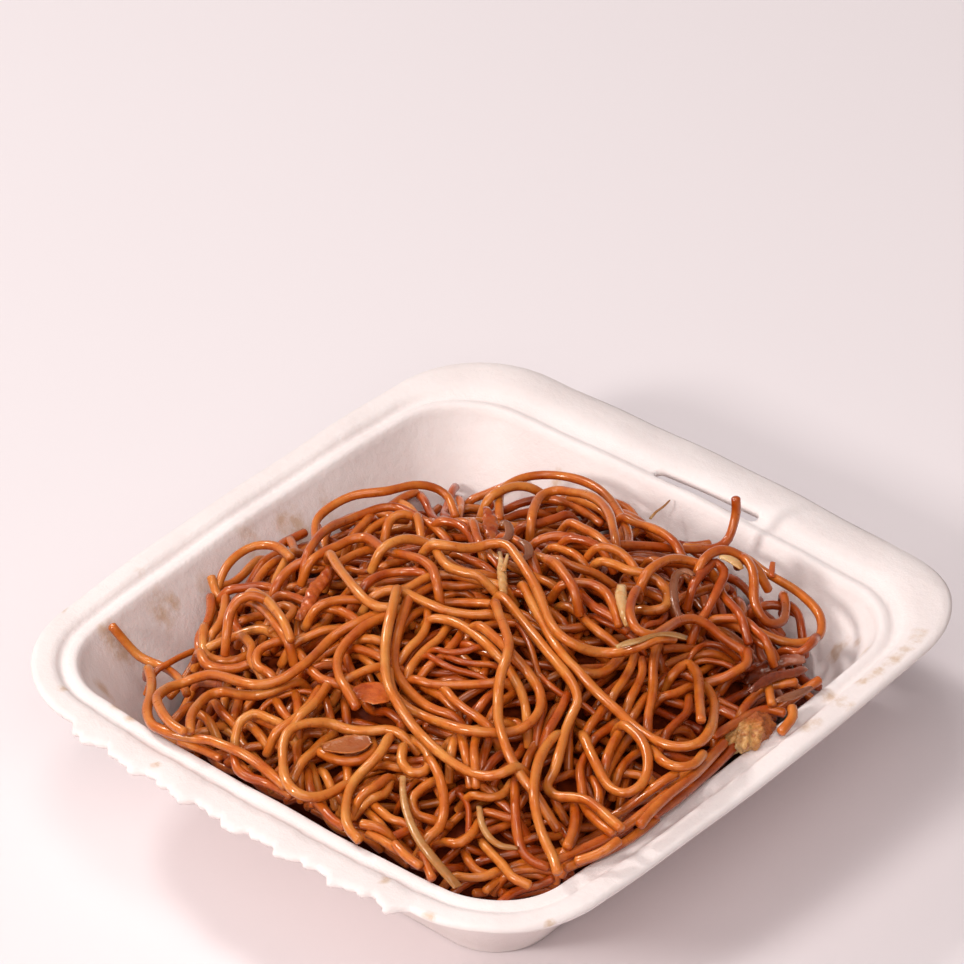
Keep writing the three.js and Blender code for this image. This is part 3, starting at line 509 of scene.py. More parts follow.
LOWER_STRANDS = [
    # left corner and front
    [(180, 741), (193, 746), (205, 751), (218, 757), (228, 763)],
    [(200, 732), (210, 731), (216, 727)],
    [(201, 716), (208, 720), (211, 727)],
    [(218, 705), (222, 713), (230, 720), (235, 726)],
    [(175, 718), (184, 711), (190, 706)],
    [(235, 589), (252, 587), (266, 586), (276, 590)],
    [(210, 600), (211, 610), (209, 620), (204, 629), (199, 638), (200, 647)],
    [(225, 600), (224, 612), (221, 622), (214, 631)],
    [(240, 600), (234, 608), (233, 618), (236, 628), (240, 634)],
    [(245, 620), (253, 617), (263, 615)],
    [(286, 643), (295, 650), (303, 658)],
    [(278, 703), (284, 714), (290, 722)],
    [(296, 697), (298, 706), (298, 716)],
    [(245, 749), (258, 746), (268, 746), (279, 747)],
    [(252, 727), (258, 733), (263, 738)],
    [(260, 720), (270, 725), (284, 731)],
    [(299, 769), (298, 756), (298, 744), (302, 736), (311, 733), (322, 734)],
    [(234, 756), (234, 763), (239, 771), (248, 777), (262, 781), (276, 787), (288, 794), (300, 799)],
    [(308, 774), (309, 782), (311, 791)],
    [(323, 772), (330, 785)],
    [(336, 795), (343, 802)],
    [(324, 697), (328, 706), (330, 717)],
    [(341, 696), (346, 704), (346, 713)],
    [(358, 649), (368, 652), (378, 656)],
    [(368, 639), (375, 640), (383, 641)],
    [(350, 678), (360, 673), (370, 669), (381, 666)],
    [(329, 609), (340, 611), (350, 616), (358, 620)],
    [(324, 604), (338, 600), (352, 600), (360, 600)],
    [(286, 596), (295, 598), (304, 601)],
    [(275, 614), (278, 607), (287, 605), (294, 611), (290, 619), (281, 620)],
    [(362, 586), (373, 591), (383, 593), (396, 591)],
    [(300, 641), (310, 636), (322, 631), (334, 628)],
    # back
    [(309, 551), (316, 540), (326, 530), (338, 524), (351, 519), (366, 513), (380, 508), (395, 507),
     (408, 512), (420, 518), (432, 526), (440, 530)],
    [(354, 534), (361, 527), (367, 520)],
    [(369, 531), (381, 523), (395, 518)],
    [(388, 529), (389, 522), (397, 515), (407, 514)],
    [(418, 519), (420, 528), (421, 537)],
    [(339, 563), (352, 556), (365, 551), (378, 550)],
    [(404, 551), (417, 549), (433, 547)],
    [(446, 522), (457, 524), (465, 529), (471, 537)],
    [(474, 525), (477, 536), (480, 543)],
    [(461, 556), (474, 562), (488, 568)],
    [(495, 494), (506, 489), (520, 486), (531, 488)],
    [(528, 525), (542, 523), (554, 519), (562, 516)],
    [(544, 539), (557, 536), (571, 538), (585, 542)],
    [(531, 556), (542, 558), (552, 564), (562, 573)],
    [(549, 499), (564, 502), (575, 506), (586, 513), (596, 519)],
    [(575, 524), (588, 531), (601, 538)],
    [(577, 499), (590, 504), (602, 510)],
    [(575, 539), (586, 541), (596, 546)],
    [(627, 519), (643, 526), (655, 529), (668, 537), (676, 545)],
    [(631, 560), (643, 561), (655, 562)],
    [(604, 547), (616, 550), (626, 557), (631, 565)],
    [(558, 548), (570, 552), (580, 559)],
    [(560, 560), (572, 566), (584, 570), (596, 574)],
    # middle
    [(448, 561), (458, 569), (473, 574), (490, 575)],
    [(425, 560), (430, 568), (433, 575)],
    [(370, 581), (382, 575), (400, 572), (426, 573)],
    [(418, 595), (426, 589), (440, 585), (458, 586), (476, 584), (495, 584)],
    [(406, 590), (415, 584), (426, 578), (440, 575), (458, 576), (476, 580), (495, 584)],
    [(428, 610), (428, 620), (423, 634), (415, 643), (406, 651)],
    [(448, 627), (441, 637), (430, 646), (420, 656), (412, 666)],
    [(420, 680), (430, 684), (445, 685), (465, 685), (483, 684), (499, 682)],
    [(448, 692), (455, 701), (465, 709), (476, 716), (486, 725)],
    [(557, 708), (551, 718), (543, 732), (535, 744), (529, 757)],
    [(540, 691), (543, 701), (542, 713), (539, 722)],
    [(566, 697), (561, 709), (554, 721), (548, 731)],
    [(580, 591), (590, 604), (600, 611), (610, 616), (616, 620)],
    [(628, 587), (640, 589), (650, 594), (661, 599)],
    [(656, 560), (668, 563), (684, 564), (698, 567)],
    [(681, 599), (691, 595), (703, 591), (716, 587)],
    [(633, 659), (630, 669), (625, 678), (619, 687), (613, 696)],
    [(641, 663), (643, 670), (639, 680), (635, 691), (629, 702)],
    [(647, 696), (641, 705), (634, 713)],
    [(603, 708), (597, 717), (589, 727)],
    [(619, 722), (609, 728), (597, 736)],
    [(664, 680), (673, 674), (684, 674), (694, 678)],
    [(666, 695), (677, 693), (689, 687)],
    [(689, 698), (690, 707), (684, 716), (675, 724), (666, 734)],
    # right
    [(703, 623), (714, 621), (729, 624), (743, 630), (754, 638), (765, 646)],
    [(718, 619), (740, 619), (751, 626), (762, 636)],
    [(761, 607), (773, 605), (782, 606)],
    [(791, 607), (799, 616), (800, 625)],
    [(790, 651), (803, 652), (810, 646), (811, 639)],
    [(717, 709), (727, 714), (738, 716)],
    [(743, 710), (750, 701), (759, 694), (768, 690)],
    [(712, 681), (722, 678), (733, 673), (743, 667)],
    [(711, 759), (720, 750), (729, 742)],
    [(720, 590), (729, 604), (739, 612), (742, 620)],
    # bottom
    [(358, 803), (366, 811), (376, 819), (384, 829)],
    [(372, 803), (381, 811), (391, 819), (406, 824)],
    [(393, 837), (407, 831)],
    [(368, 834), (380, 839), (391, 846), (403, 853)],
    [(362, 824), (374, 826)],
    [(391, 780), (388, 790), (380, 797), (370, 799)],
    [(368, 790), (377, 786), (383, 780)],
    [(347, 766), (348, 777), (348, 788)],
    [(455, 738), (452, 749)],
    [(462, 738), (465, 752), (467, 762)],
    [(476, 739), (474, 750), (475, 762)],
    [(489, 741), (484, 754), (483, 762)],
    [(499, 756), (488, 766)],
    [(444, 842), (452, 845), (462, 842), (471, 835), (476, 825)],
    [(479, 795), (492, 798), (502, 795), (508, 785)],
    [(486, 812), (498, 815), (510, 818)],
    [(468, 855), (469, 865), (475, 871), (482, 869)],
    [(461, 876), (475, 878), (490, 875), (502, 869)],
    [(515, 871), (531, 869), (545, 869)],
    [(424, 858), (428, 869), (432, 878)],
    [(395, 844), (406, 856), (420, 866)],
    [(593, 780), (600, 787), (597, 799)],
    [(587, 754), (581, 764), (580, 776), (582, 789)],
    [(579, 811), (577, 826), (572, 841), (565, 851)],
    [(581, 850), (596, 844), (611, 838)],
    [(566, 868), (590, 858), (618, 846), (642, 830), (664, 812)],
    [(655, 815), (680, 797), (702, 778), (722, 760), (735, 745)],
    [(560, 858), (585, 848), (610, 836), (634, 820), (655, 803), (676, 786)],
    [(617, 774), (631, 774), (642, 776)],
    [(622, 768), (631, 757), (641, 752)],
]
UPPER_STRANDS = [
    [(213, 646), (223, 641), (233, 637), (243, 634), (253, 630), (265, 630), (274, 634)],
    [(204, 630), (203, 645), (206, 655), (215, 660), (226, 661), (238, 660), (249, 654)],
    [(203, 655), (206, 664), (216, 668), (230, 669), (243, 667), (252, 664)],
    [(245, 639), (251, 646), (254, 651), (251, 658), (254, 666), (260, 673)],
    [(281, 640), (268, 645), (258, 652), (256, 661), (260, 670), (270, 674)],
    [(249, 603), (259, 606), (268, 614), (276, 625), (284, 634)],
    [(256, 594), (264, 598), (272, 606), (280, 616), (286, 626)],
    [(229, 623), (231, 611), (238, 601), (247, 596), (258, 596)],
    [(282, 579), (290, 569), (300, 563), (314, 561), (328, 563)],
    [(236, 740), (236, 730), (241, 721), (250, 715), (260, 714), (270, 719), (283, 726)],
    [(320, 689), (313, 700), (304, 711), (294, 720), (283, 727)],
    [(313, 671), (321, 679), (329, 683), (340, 683)],
    [(325, 688), (319, 698), (310, 708), (300, 716)],
    [(299, 766), (305, 759), (315, 750), (325, 740), (335, 733)],
    [(323, 753), (331, 758), (342, 761), (356, 761), (368, 757), (374, 749), (371, 741)],
    [(316, 801), (324, 810), (332, 819), (344, 827)],
    [(316, 557), (326, 551), (338, 546), (350, 540), (361, 537), (371, 540), (382, 548), (395, 553),
     (409, 556), (424, 561), (432, 568), (435, 578)],
    [(388, 545), (397, 541), (409, 539), (422, 542), (433, 546)],
    [(435, 545), (438, 554), (444, 562), (453, 570), (466, 573), (478, 576)],
    [(532, 518), (535, 506), (541, 496), (550, 491), (562, 491), (576, 493), (590, 496), (600, 502),
     (608, 512), (612, 524), (615, 538)],
    [(508, 538), (516, 541), (524, 546), (529, 553)],
    [(570, 583), (585, 583), (596, 586), (605, 592), (611, 601), (615, 611)],
    [(565, 606), (576, 612), (586, 621), (596, 630), (607, 638), (615, 645)],
    [(606, 562), (619, 566), (630, 571), (643, 573), (655, 579), (665, 586), (666, 598), (665, 608),
     (652, 611), (638, 610)],
    [(650, 570), (660, 563), (672, 559), (686, 560), (698, 565)],
    [(697, 579), (704, 571), (711, 564), (720, 563), (724, 571), (721, 581), (718, 590), (712, 601),
     (707, 611), (701, 620)],
    [(706, 558), (716, 551), (729, 551), (741, 557), (750, 565)],
    [(746, 560), (753, 571), (754, 584), (754, 598), (758, 611), (765, 621), (775, 625), (783, 620),
     (786, 609), (784, 598)],
    [(657, 647), (654, 660), (653, 673), (653, 686), (652, 698), (649, 710), (648, 724)],
    [(380, 594), (390, 590), (400, 591), (411, 596), (426, 602), (440, 609), (458, 613), (476, 615),
     (496, 614)],
    [(438, 619), (451, 621), (464, 627), (476, 635), (489, 646), (497, 655), (504, 662), (511, 673),
     (518, 685), (524, 700), (526, 714)],
    [(403, 748), (401, 759), (407, 770), (419, 774), (429, 767), (429, 757), (423, 748), (416, 740)],
    [(436, 781), (427, 785), (418, 792), (412, 801), (413, 810), (422, 818), (436, 820)],
    [(432, 762), (439, 776), (443, 792), (444, 809), (442, 821), (437, 831), (428, 838)],
    [(515, 784), (515, 801), (516, 818), (518, 837), (523, 852), (534, 862), (548, 867)],
    [(484, 841), (487, 852), (498, 858), (505, 868), (512, 877), (522, 881)],
    [(676, 774), (664, 781), (653, 789), (641, 797), (631, 806), (621, 811)],
    [(724, 743), (715, 753), (705, 764), (695, 774), (684, 783), (671, 793), (659, 804), (647, 816),
     (637, 829)],
    [(574, 807), (575, 821), (571, 838), (565, 851)],
    [(584, 806), (593, 817), (604, 827), (617, 836)],
    [(577, 861), (593, 856), (607, 849), (618, 841)],
    [(630, 737), (621, 748), (614, 760), (607, 772)],
    [(623, 727), (617, 737), (611, 748), (608, 756)],
    [(647, 743), (656, 754), (664, 762), (678, 767), (692, 765), (702, 756), (706, 744)],
    [(714, 736), (724, 730), (737, 723), (749, 716), (761, 710), (773, 710), (784, 713)],
    [(770, 686), (783, 684), (795, 682), (806, 683)],
    [(769, 688), (770, 696), (772, 704)],
    [(792, 708), (793, 716), (787, 725), (781, 732)],
]
TOP_STRANDS = [
    [(149, 672), (151, 680), (153, 688), (149, 699), (147, 710), (149, 720), (155, 727), (165, 731),
     (178, 735), (190, 738), (205, 739), (220, 744), (235, 750), (248, 757), (260, 765), (272, 775),
     (285, 786)],
    [(190, 731), (190, 720), (195, 709), (204, 699), (215, 693), (230, 692), (243, 695), (258, 695),
     (271, 692), (283, 687), (292, 683)],
    [(184, 732), (173, 725), (164, 715), (158, 704), (158, 695), (166, 689), (180, 684), (193, 679),
     (205, 675), (218, 675), (231, 679), (245, 683), (260, 685), (274, 682), (286, 677), (300, 667),
     (313, 657), (325, 645), (335, 635), (348, 627), (360, 622), (373, 616), (392, 610)],
    [(332, 557), (340, 570), (350, 582), (359, 593), (368, 602), (378, 607), (390, 607)],
    [(388, 616), (377, 620), (367, 625), (355, 634), (346, 643), (340, 653), (337, 664), (339, 675),
     (343, 685), (350, 693)],
    [(342, 786), (331, 793), (317, 797), (304, 796), (292, 789), (285, 777), (283, 762), (283, 746),
     (288, 732), (299, 725), (313, 723), (328, 723), (342, 728), (357, 731), (374, 731), (389, 730),
     (402, 735)],
    [(389, 738), (383, 749), (375, 759), (365, 769), (355, 780), (349, 792), (346, 806), (346, 820),
     (351, 832), (359, 840)],
    [(408, 601), (400, 625), (395, 648), (395, 666), (400, 679), (408, 690), (420, 701), (430, 708),
     (452, 716)],
    [(389, 673), (391, 688), (399, 701), (411, 710), (428, 718), (445, 724), (465, 730), (482, 732),
     (500, 733), (516, 731), (530, 723), (539, 711), (541, 700), (539, 690), (533, 680), (525, 669),
     (515, 658), (503, 645), (492, 635), (480, 626)],
    [(496, 606), (501, 620), (507, 635), (509, 648), (506, 660), (502, 670), (500, 681), (498, 693),
     (498, 705), (498, 716), (500, 727), (504, 741), (509, 755), (516, 768), (524, 780), (533, 791),
     (542, 806), (549, 816)],
    [(554, 737), (546, 747), (539, 761), (535, 777), (534, 793), (535, 807), (539, 824), (545, 841),
     (552, 855), (557, 870), (558, 882)],
    [(396, 592), (390, 618), (386, 638), (385, 656), (386, 675), (390, 690), (398, 704), (407, 718),
     (417, 731), (427, 741), (441, 754), (455, 764), (469, 772), (484, 776), (498, 775), (510, 768)],
    [(635, 593), (631, 603), (630, 613), (633, 624), (639, 631), (648, 635), (658, 634), (667, 628),
     (676, 622), (687, 619), (698, 620), (708, 625), (718, 634), (728, 642), (739, 649), (747, 655),
     (748, 662), (742, 668), (733, 673)],
    [(746, 655), (749, 660), (743, 667), (733, 673), (721, 679), (711, 682)],
    [(571, 584), (561, 570), (552, 560)],
    [(550, 636), (558, 652), (569, 663), (582, 672), (596, 674), (608, 670), (616, 662), (621, 655)],
    [(525, 588), (533, 605), (541, 619), (550, 636), (563, 655), (574, 667), (582, 675), (590, 685),
     (600, 695), (610, 704), (622, 715), (636, 728), (650, 737), (664, 744), (679, 747), (693, 745),
     (704, 739), (711, 728), (714, 714), (714, 702), (710, 692), (703, 684)],
    [(680, 670), (687, 664), (694, 667), (698, 679), (699, 693), (700, 706), (701, 718), (701, 730)],
    [(627, 727), (638, 736), (645, 748), (648, 762), (646, 776), (639, 787), (627, 793), (615, 791),
     (607, 784), (601, 774), (594, 760), (588, 747), (583, 736)],
    [(504, 598), (514, 610), (525, 624), (538, 640), (551, 656), (565, 673), (573, 685), (578, 697),
     (575, 709), (568, 723), (561, 748), (556, 765), (551, 780), (547, 788), (553, 795), (566, 797),
     (581, 798), (593, 804), (604, 814), (616, 824), (628, 835)],
    [(439, 544), (449, 546), (461, 548), (474, 548), (486, 545), (498, 543), (508, 546), (517, 557),
     (525, 569), (532, 580), (538, 592), (543, 604), (549, 620), (557, 632), (568, 641), (581, 648),
     (596, 652), (612, 653), (628, 650), (645, 644), (662, 637)],
]

# ---------------------------------------------------------------- core

# the core's dark colour is painted shade of the depths between the noodles
CORE_DEPTH = 11  # of the dark core under the tops of the noodles
CORE_CLEAR = 0.8  # between the core and the tray


def core_ring(outline, scale, highest):
    """A ring of the core: under the noodles, not over the highest level, and clear of the tray."""
    ring = outline * scale
    for _ in range(40):
        x, y = ring.T
        z = np.minimum(heap_top(x, y) - CORE_DEPTH, highest)
        ring = np.where((wall_margin(x, y, z) < CORE_CLEAR)[:, None], ring * 0.985, ring)
    return np.column_stack([ring, z])


def make_core(material):
    """A closed body under the noodles, dark as painted shade of the depths: a grid of the core's surface
    with a skirt.
    """
    side = 60
    turn = angles(side)
    lean = np.maximum(np.abs(np.cos(turn)), np.abs(np.sin(turn)))
    outline = np.stack([np.cos(turn), np.sin(turn)], axis=1) / lean[:, None]**0.8
    rings = [core_ring(outline, scale, z) for z, scale in ((2, 40), (8, 47), (18, 52.5))]
    rings += [core_ring(outline, scale, HEAP_TOP_Z) for scale in np.linspace(56, 2, 22)]
    middle = [[0, 0, 2], [0, 0, rings[-1][0, 2]]]
    builder = Builder()
    points = np.vstack([*rings, middle])
    builder.add(points, [ring_quads(len(rings), side), end_fans(len(rings), side)], tint=0)
    return builder.make("heap_core", material, ["noodle_heap"])


# ---------------------------------------------------------------- materials

def new_material(name):
    material = bpy.data.materials.new(name)
    material.use_nodes = True
    tree = material.node_tree
    return material, tree, tree.nodes["Principled BSDF"]


def add_node(tree, kind, inputs=None, **settings):
    """A node with its settings, and its inputs linked to sockets or set to values."""
    node = tree.nodes.new(kind)
    for key, value in settings.items():
        setattr(node, key, value)
    fill(tree, node, inputs or {})
    return node


def fill(tree, node, inputs):
    for key, value in inputs.items():
        if isinstance(value, bpy.types.NodeSocket):
            tree.links.new(value, node.inputs[key])
        else:
            node.inputs[key].default_value = value


def noise(tree, scale, detail=3, roughness=0.55, stretch=None):
    """A noise value over the object's own coordinates. The scale is in waves a metre."""
    where = add_node(tree, "ShaderNodeTexCoord").outputs["Object"]
    if stretch:
        where = add_node(tree, "ShaderNodeMapping", {"Vector": where, "Scale": stretch}).outputs[0]
    texture = add_node(tree, "ShaderNodeTexNoise", {
        "Vector": where, "Scale": scale, "Detail": detail, "Roughness": roughness,
    })
    return texture.outputs[0]


def spread(tree, value, low, high, to_low=0.0, to_high=1.0):
    """Maps the value from low..high to to_low..to_high, and clamps it."""
    return add_node(tree, "ShaderNodeMapRange", {
        "Value": value, "From Min": low, "From Max": high, "To Min": to_low, "To Max": to_high,
    }).outputs[0]


def attribute(tree, name):
    return add_node(tree, "ShaderNodeAttribute", attribute_name=name).outputs["Fac"]


def math_of(tree, operation, a, b):
    return add_node(tree, "ShaderNodeMath", {0: a, 1: b}, operation=operation).outputs[0]


def colours(tree, value, stops):
    """A ramp of (position, red, green, blue)."""
    ramp = add_node(tree, "ShaderNodeValToRGB", {"Fac": value})
    elements = ramp.color_ramp.elements
    while len(elements) < len(stops):
        elements.new(1)
    for element, (position, *colour) in zip(elements, stops):
        element.position = position
        element.color = (*colour, 1)
    return ramp.outputs[0]


def blend(tree, factor, a, b):
    mix = add_node(tree, "ShaderNodeMix", data_type="RGBA")
    fill(tree, mix, {0: factor})
    for socket, value in ((mix.inputs[6], a), (mix.inputs[7], b)):
        if isinstance(value, bpy.types.NodeSocket):
            tree.links.new(value, socket)
        else:
            socket.default_value = (*value, 1)
    return mix.outputs[2]


def bump(tree, height, strength, distance, below=None):
    inputs = {"Height": height, "Strength": strength, "Distance": distance}
    if below:
        inputs["Normal"] = below
    return add_node(tree, "ShaderNodeBump", inputs).outputs[0]


def noodle_material():
    """Oily fried noodle: golden to red-brown, darker where sauce clings, with sharp highlights. Each
    noodle's underside is darkened as painted shade, and its tint carries painted light and shade from
    left to right.
    """
    material, tree, shader = new_material("fried_noodle")
    clinging = noise(tree, 170, 4, 0.6)
    mottle = noise(tree, 700, 3, 0.6)
    # tint holds each noodle's random tone together with painted light and shade from the left of the
    # view to the right
    tone = math_of(tree, "ADD", math_of(tree, "MULTIPLY", attribute(tree, "tint"), 0.55),
                   spread(tree, clinging, 0.3, 0.7, 0, 0.45))
    base = colours(tree, tone, [
        (0.0, 0.27, 0.024, 0.001), (0.3, 0.44, 0.068, 0.003), (0.6, 0.60, 0.145, 0.012),
        (1.0, 0.70, 0.265, 0.050),
    ])
    # painted shade: each noodle's underside, found by its crown, is blended towards a dark red-brown
    underside_shade = math_of(tree, "ADD", attribute(tree, "crown"), spread(tree, mottle, 0.3, 0.7, -0.5, 0.5))
    base = blend(tree, spread(tree, underside_shade, -0.7, 0.6, 0.75, 0), base, (0.24, 0.022, 0.001))
    pits = noise(tree, 2200, 3, 0.6)
    fill(tree, shader, {
        "Base Color": base,
        "Roughness": spread(tree, mottle, 0.3, 0.7, 0.25, 0.45),
        "Specular IOR Level": 0.5,
        "Specular Tint": (1, 0.74, 0.48, 1),
        "Subsurface Weight": 0.15,
        "Subsurface Radius": (1.0, 0.3, 0.08),
        "Subsurface Scale": 0.0014,
        "Coat Weight": 0.7,
        "Coat Roughness": 0.1,
        "Coat Normal": bump(tree, pits, 0.5, 0.00008),
        "Normal": bump(tree, pits, 0.25, 0.0001),
    })
    return material


def core_material():
    """The depths between the noodles: a sauce-brown darkened as painted shade."""
    material, tree, shader = new_material("shaded_sauce_depths")
    # painted shade: the noodles' sauce-brown made very dark for the depths
    base = colours(tree, noise(tree, 260, 3), [
        (0.35, 0.10, 0.010, 0.001), (0.7, 0.25, 0.033, 0.002),
    ])
    fill(tree, shader, {"Base Color": base, "Roughness": 0.6, "Specular IOR Level": 0.1})
    return material


def soaked_material(name, along_stops, edge_tone, blotch, gloss):
    """A soft topping with a colour along its length, another at its edges, and sauce on it."""
    material, tree, shader = new_material(name)
    wander = math_of(tree, "MULTIPLY", math_of(tree, "SUBTRACT", noise(tree, 300, 3), 0.5), 0.5)
    base = colours(tree, math_of(tree, "ADD", attribute(tree, "along"), wander), along_stops)
    base = blend(tree, spread(tree, attribute(tree, "edge"), 0.5, 1, 0, 0.6), base, edge_tone)
    sauce = spread(tree, noise(tree, 420, 4, 0.6), 0.5, 0.68, 0, 0.85)
    base = blend(tree, sauce, base, blotch)
    fibres = noise(tree, 900, 3, 0.6, (1, 1, 0.35))
    fill(tree, shader, {
        "Base Color": base,
        "Roughness": gloss,
        "Specular Tint": (1, 0.85, 0.7, 1),
        "Subsurface Weight": 0.3,
        "Subsurface Radius": (1.0, 0.4, 0.2),
        "Subsurface Scale": 0.001,
        "Coat Weight": 0.35,
        "Coat Roughness": 0.1,
        "Normal": bump(tree, fibres, 0.5, 0.0004),
    })
    return material


def topping_materials():
    """The soaked materials by name, each with colours from one end of a strip to the other."""
    return {
        "pepper": soaked_material("soaked_pepper", [(0, 0.52, 0.085, 0.010), (1, 0.66, 0.150, 0.022)],
                                  (0.62, 0.17, 0.03), (0.40, 0.05, 0.005), 0.2),
        "petal": soaked_material("onion_petal", [(0, 0.42, 0.120, 0.028), (1, 0.36, 0.105, 0.040)],
                                 (0.62, 0.19, 0.025), (0.34, 0.07, 0.01), 0.18),
        "onion": soaked_material("soaked_onion", [(0, 0.30, 0.105, 0.045), (1, 0.24, 0.080, 0.040)],
                                 (0.42, 0.17, 0.08), (0.20, 0.045, 0.015), 0.22),
        "meat": soaked_material("cooked_meat", [(0, 0.42, 0.085, 0.009), (0.8, 0.52, 0.095, 0.010),
                                                (1, 0.60, 0.16, 0.03)],
                                (0.52, 0.12, 0.015), (0.32, 0.035, 0.003), 0.2),
        "pork": soaked_material("dark_pork", [(0, 0.15, 0.020, 0.003), (0.75, 0.22, 0.035, 0.008),
                                              (1, 0.42, 0.16, 0.10)],
                                (0.30, 0.07, 0.02), (0.10, 0.010, 0.002), 0.25),
        "sprout": soaked_material("pale_sprout", [(0, 0.78, 0.52, 0.26), (0.5, 0.68, 0.40, 0.17),
                                                  (1, 0.50, 0.22, 0.06)],
                                  (0.62, 0.33, 0.11), (0.60, 0.26, 0.07), 0.25),
        "stalk": soaked_material("soft_stalk", [(0, 0.60, 0.30, 0.11), (0.5, 0.52, 0.24, 0.075),
                                                (1, 0.34, 0.13, 0.03)],
                                 (0.42, 0.17, 0.045), (0.46, 0.16, 0.03), 0.25),
        "leaf": soaked_material("pale_leaf", [(0, 0.60, 0.38, 0.14), (0.3, 0.38, 0.16, 0.04),
                                              (1, 0.28, 0.13, 0.045)],
                                (0.46, 0.27, 0.09), (0.34, 0.12, 0.02), 0.3),
    }


def fried_material():
    """Batter: pale flaky crust at one end, brown where it soaked up sauce."""
    material, tree, shader = new_material("fried_batter")
    flakes = noise(tree, 520, 4, 0.65)
    lumps = noise(tree, 230, 3, 0.6)
    tone = math_of(tree, "ADD", math_of(tree, "MULTIPLY", attribute(tree, "pale"), 0.75),
                   spread(tree, lumps, 0.3, 0.7, -0.2, 0.35))
    base = colours(tree, tone, [
        (0.0, 0.40, 0.085, 0.008), (0.4, 0.56, 0.18, 0.028), (0.75, 0.68, 0.34, 0.10),
        (1.0, 0.80, 0.54, 0.26),
    ])
    base = blend(tree, spread(tree, flakes, 0.52, 0.68, 0, 0.8), base, (0.42, 0.10, 0.01))
    fill(tree, shader, {
        "Base Color": base,
        "Roughness": 0.42,
        "Coat Weight": 0.3,
        "Coat Roughness": 0.15,
        "Subsurface Weight": 0.15,
        "Subsurface Radius": (1.0, 0.5, 0.25),
        "Subsurface Scale": 0.001,
        "Normal": bump(tree, flakes, 0.9, 0.0012),
    })
    return material


def pulp_material():
    """Matt moulded pulp: fine fibres, a soft unevenness, and brown stains of sauce."""
    material, tree, shader = new_material("moulded_pulp")
    fibres = noise(tree, 2600, 4, 0.7)
    felt = noise(tree, 420, 4, 0.6)
    cloud = noise(tree, 60, 3, 0.5)
    base = colours(tree, cloud, [(0.3, 0.85, 0.745, 0.715), (0.7, 0.91, 0.815, 0.785)])
    base = blend(tree, spread(tree, fibres, 0.62, 0.8, 0, 0.25), base, (0.62, 0.50, 0.44))
    stain = attribute(tree, "stain")
    edge = math_of(tree, "MULTIPLY", stain, spread(tree, noise(tree, 330, 5, 0.7), 0.3, 0.62, 0.1, 1.5))
    base = blend(tree, spread(tree, edge, 0.18, 0.9, 0, 0.6), base, (0.60, 0.36, 0.17))
    rough = bump(tree, fibres, 0.35, 0.0002)
    fill(tree, shader, {
        "Base Color": base,
        "Roughness": spread(tree, edge, 0.1, 0.8, 0.82, 0.45),
        "Specular IOR Level": 0.35,
        "Subsurface Weight": 0.08,
        "Subsurface Radius": (1.0, 0.7, 0.6),
        "Subsurface Scale": 0.001,
        "Normal": bump(tree, felt, 0.35, 0.0006, rough),
    })
    return material


def floor_material():
    material, tree, shader = new_material("pale_backdrop")
    base = colours(tree, noise(tree, 3, 2), [(0.3, 0.83, 0.755, 0.762), (0.7, 0.84, 0.765, 0.772)])
    fill(tree, shader, {"Base Color": base, "Roughness": 0.9, "Specular IOR Level": 0.1})
    return material


# ---------------------------------------------------------------- tray

GROOVE_REACH = 68.6
GROOVE_RADIUS = 20.9
GROOVE_Z = 35.7
FLANGE_REACH = 75
FLANGE_Z = 37
FOOT_EDGE = 1.3
SIDE_BOW = 1.5
SLOT_SIDE_EXTRA = 9.25
SLOT_SIDE_DROOP = 2.2
DROOP_START_Y = 73
TORN_HALF_LENGTH = 47
TORN_PROUD = 2.4
TORN_RAGGED = 0.75
SLOT_MIDDLE = (4.1, 70.6)
SLOT_LENGTH = 28
SLOT_WIDTH = 2.8
SLOT_TURN = math.radians(2)
CORNER_STEPS = 26
SIDE_STEPS = 60
TORN_STEPS = 150
PROFILE_STEP = 1.6

# Brown stains on the pulp as (x, y, radius, strength), in millimetres.
STAINS = [
    # the left corner
    (-63.7, -47.2, 1.6, 0.8), (-62.4, -45.6, 2.2, 0.9), (-61.2, -44.3, 1.6, 0.7),
    (-55.8, -57.1, 1.4, 0.8), (-43.4, -65.1, 1.1, 0.9), (-38.6, -66.1, 1.1, 0.8),
    # the -X wall
    (-63.5, -31.4, 2.2, 0.65), (-63.5, -27.3, 1, 0.9), (-61.7, -17.8, 2.4, 0.55),
    (-63.8, -2, 2.6, 0.55), (-61.8, 11.1, 2, 1), (-63, 11.1, 1.8, 0.9), (-63.9, 8.4, 1.8, 0.7),
    (-61.9, 20.5, 2, 0.5), (-70.9, -29.3, 1.6, 0.35),
    # a smeared line along the groove of the +X side
    (70.5, 61.2, 1, 0.8), (71.3, 58, 1, 0.8), (71.9, 54.8, 0.9, 0.9), (72, 52.2, 0.9, 0.7),
    (72.1, 49.7, 1, 0.9), (72, 47.4, 0.9, 0.8), (72, 45, 1, 0.9), (71.8, 42.3, 0.9, 0.8),
    (71.2, 39.7, 1, 0.9),
    # smears on the right wall and its bead
    (50.6, 56.8, 0.9, 0.8), (52, 55.7, 0.9, 0.8), (53, 57.8, 0.9, 0.7), (56.7, 57.5, 0.9, 0.6),
    (61.9, 53.5, 0.9, 0.6), (68.3, 32.7, 1.4, 0.8), (71.4, 32, 1.4, 0.8), (74.3, 31.8, 1.2, 0.7),
    (71.8, 20.6, 1.4, 0.7), (72, 23, 1.4, 0.7), (66.5, 16, 1.4, 0.7),
    # specks
    (-75.3, -49, 0.8, 1), (-55.8, -68.8, 0.8, 1), (-23.1, -74.8, 0.8, 1), (37.7, -71.7, 0.8, 1),
    (51.8, -74, 0.8, 1), (72, -60.4, 0.9, 1), (-31.5, 61.6, 1, 1),
]


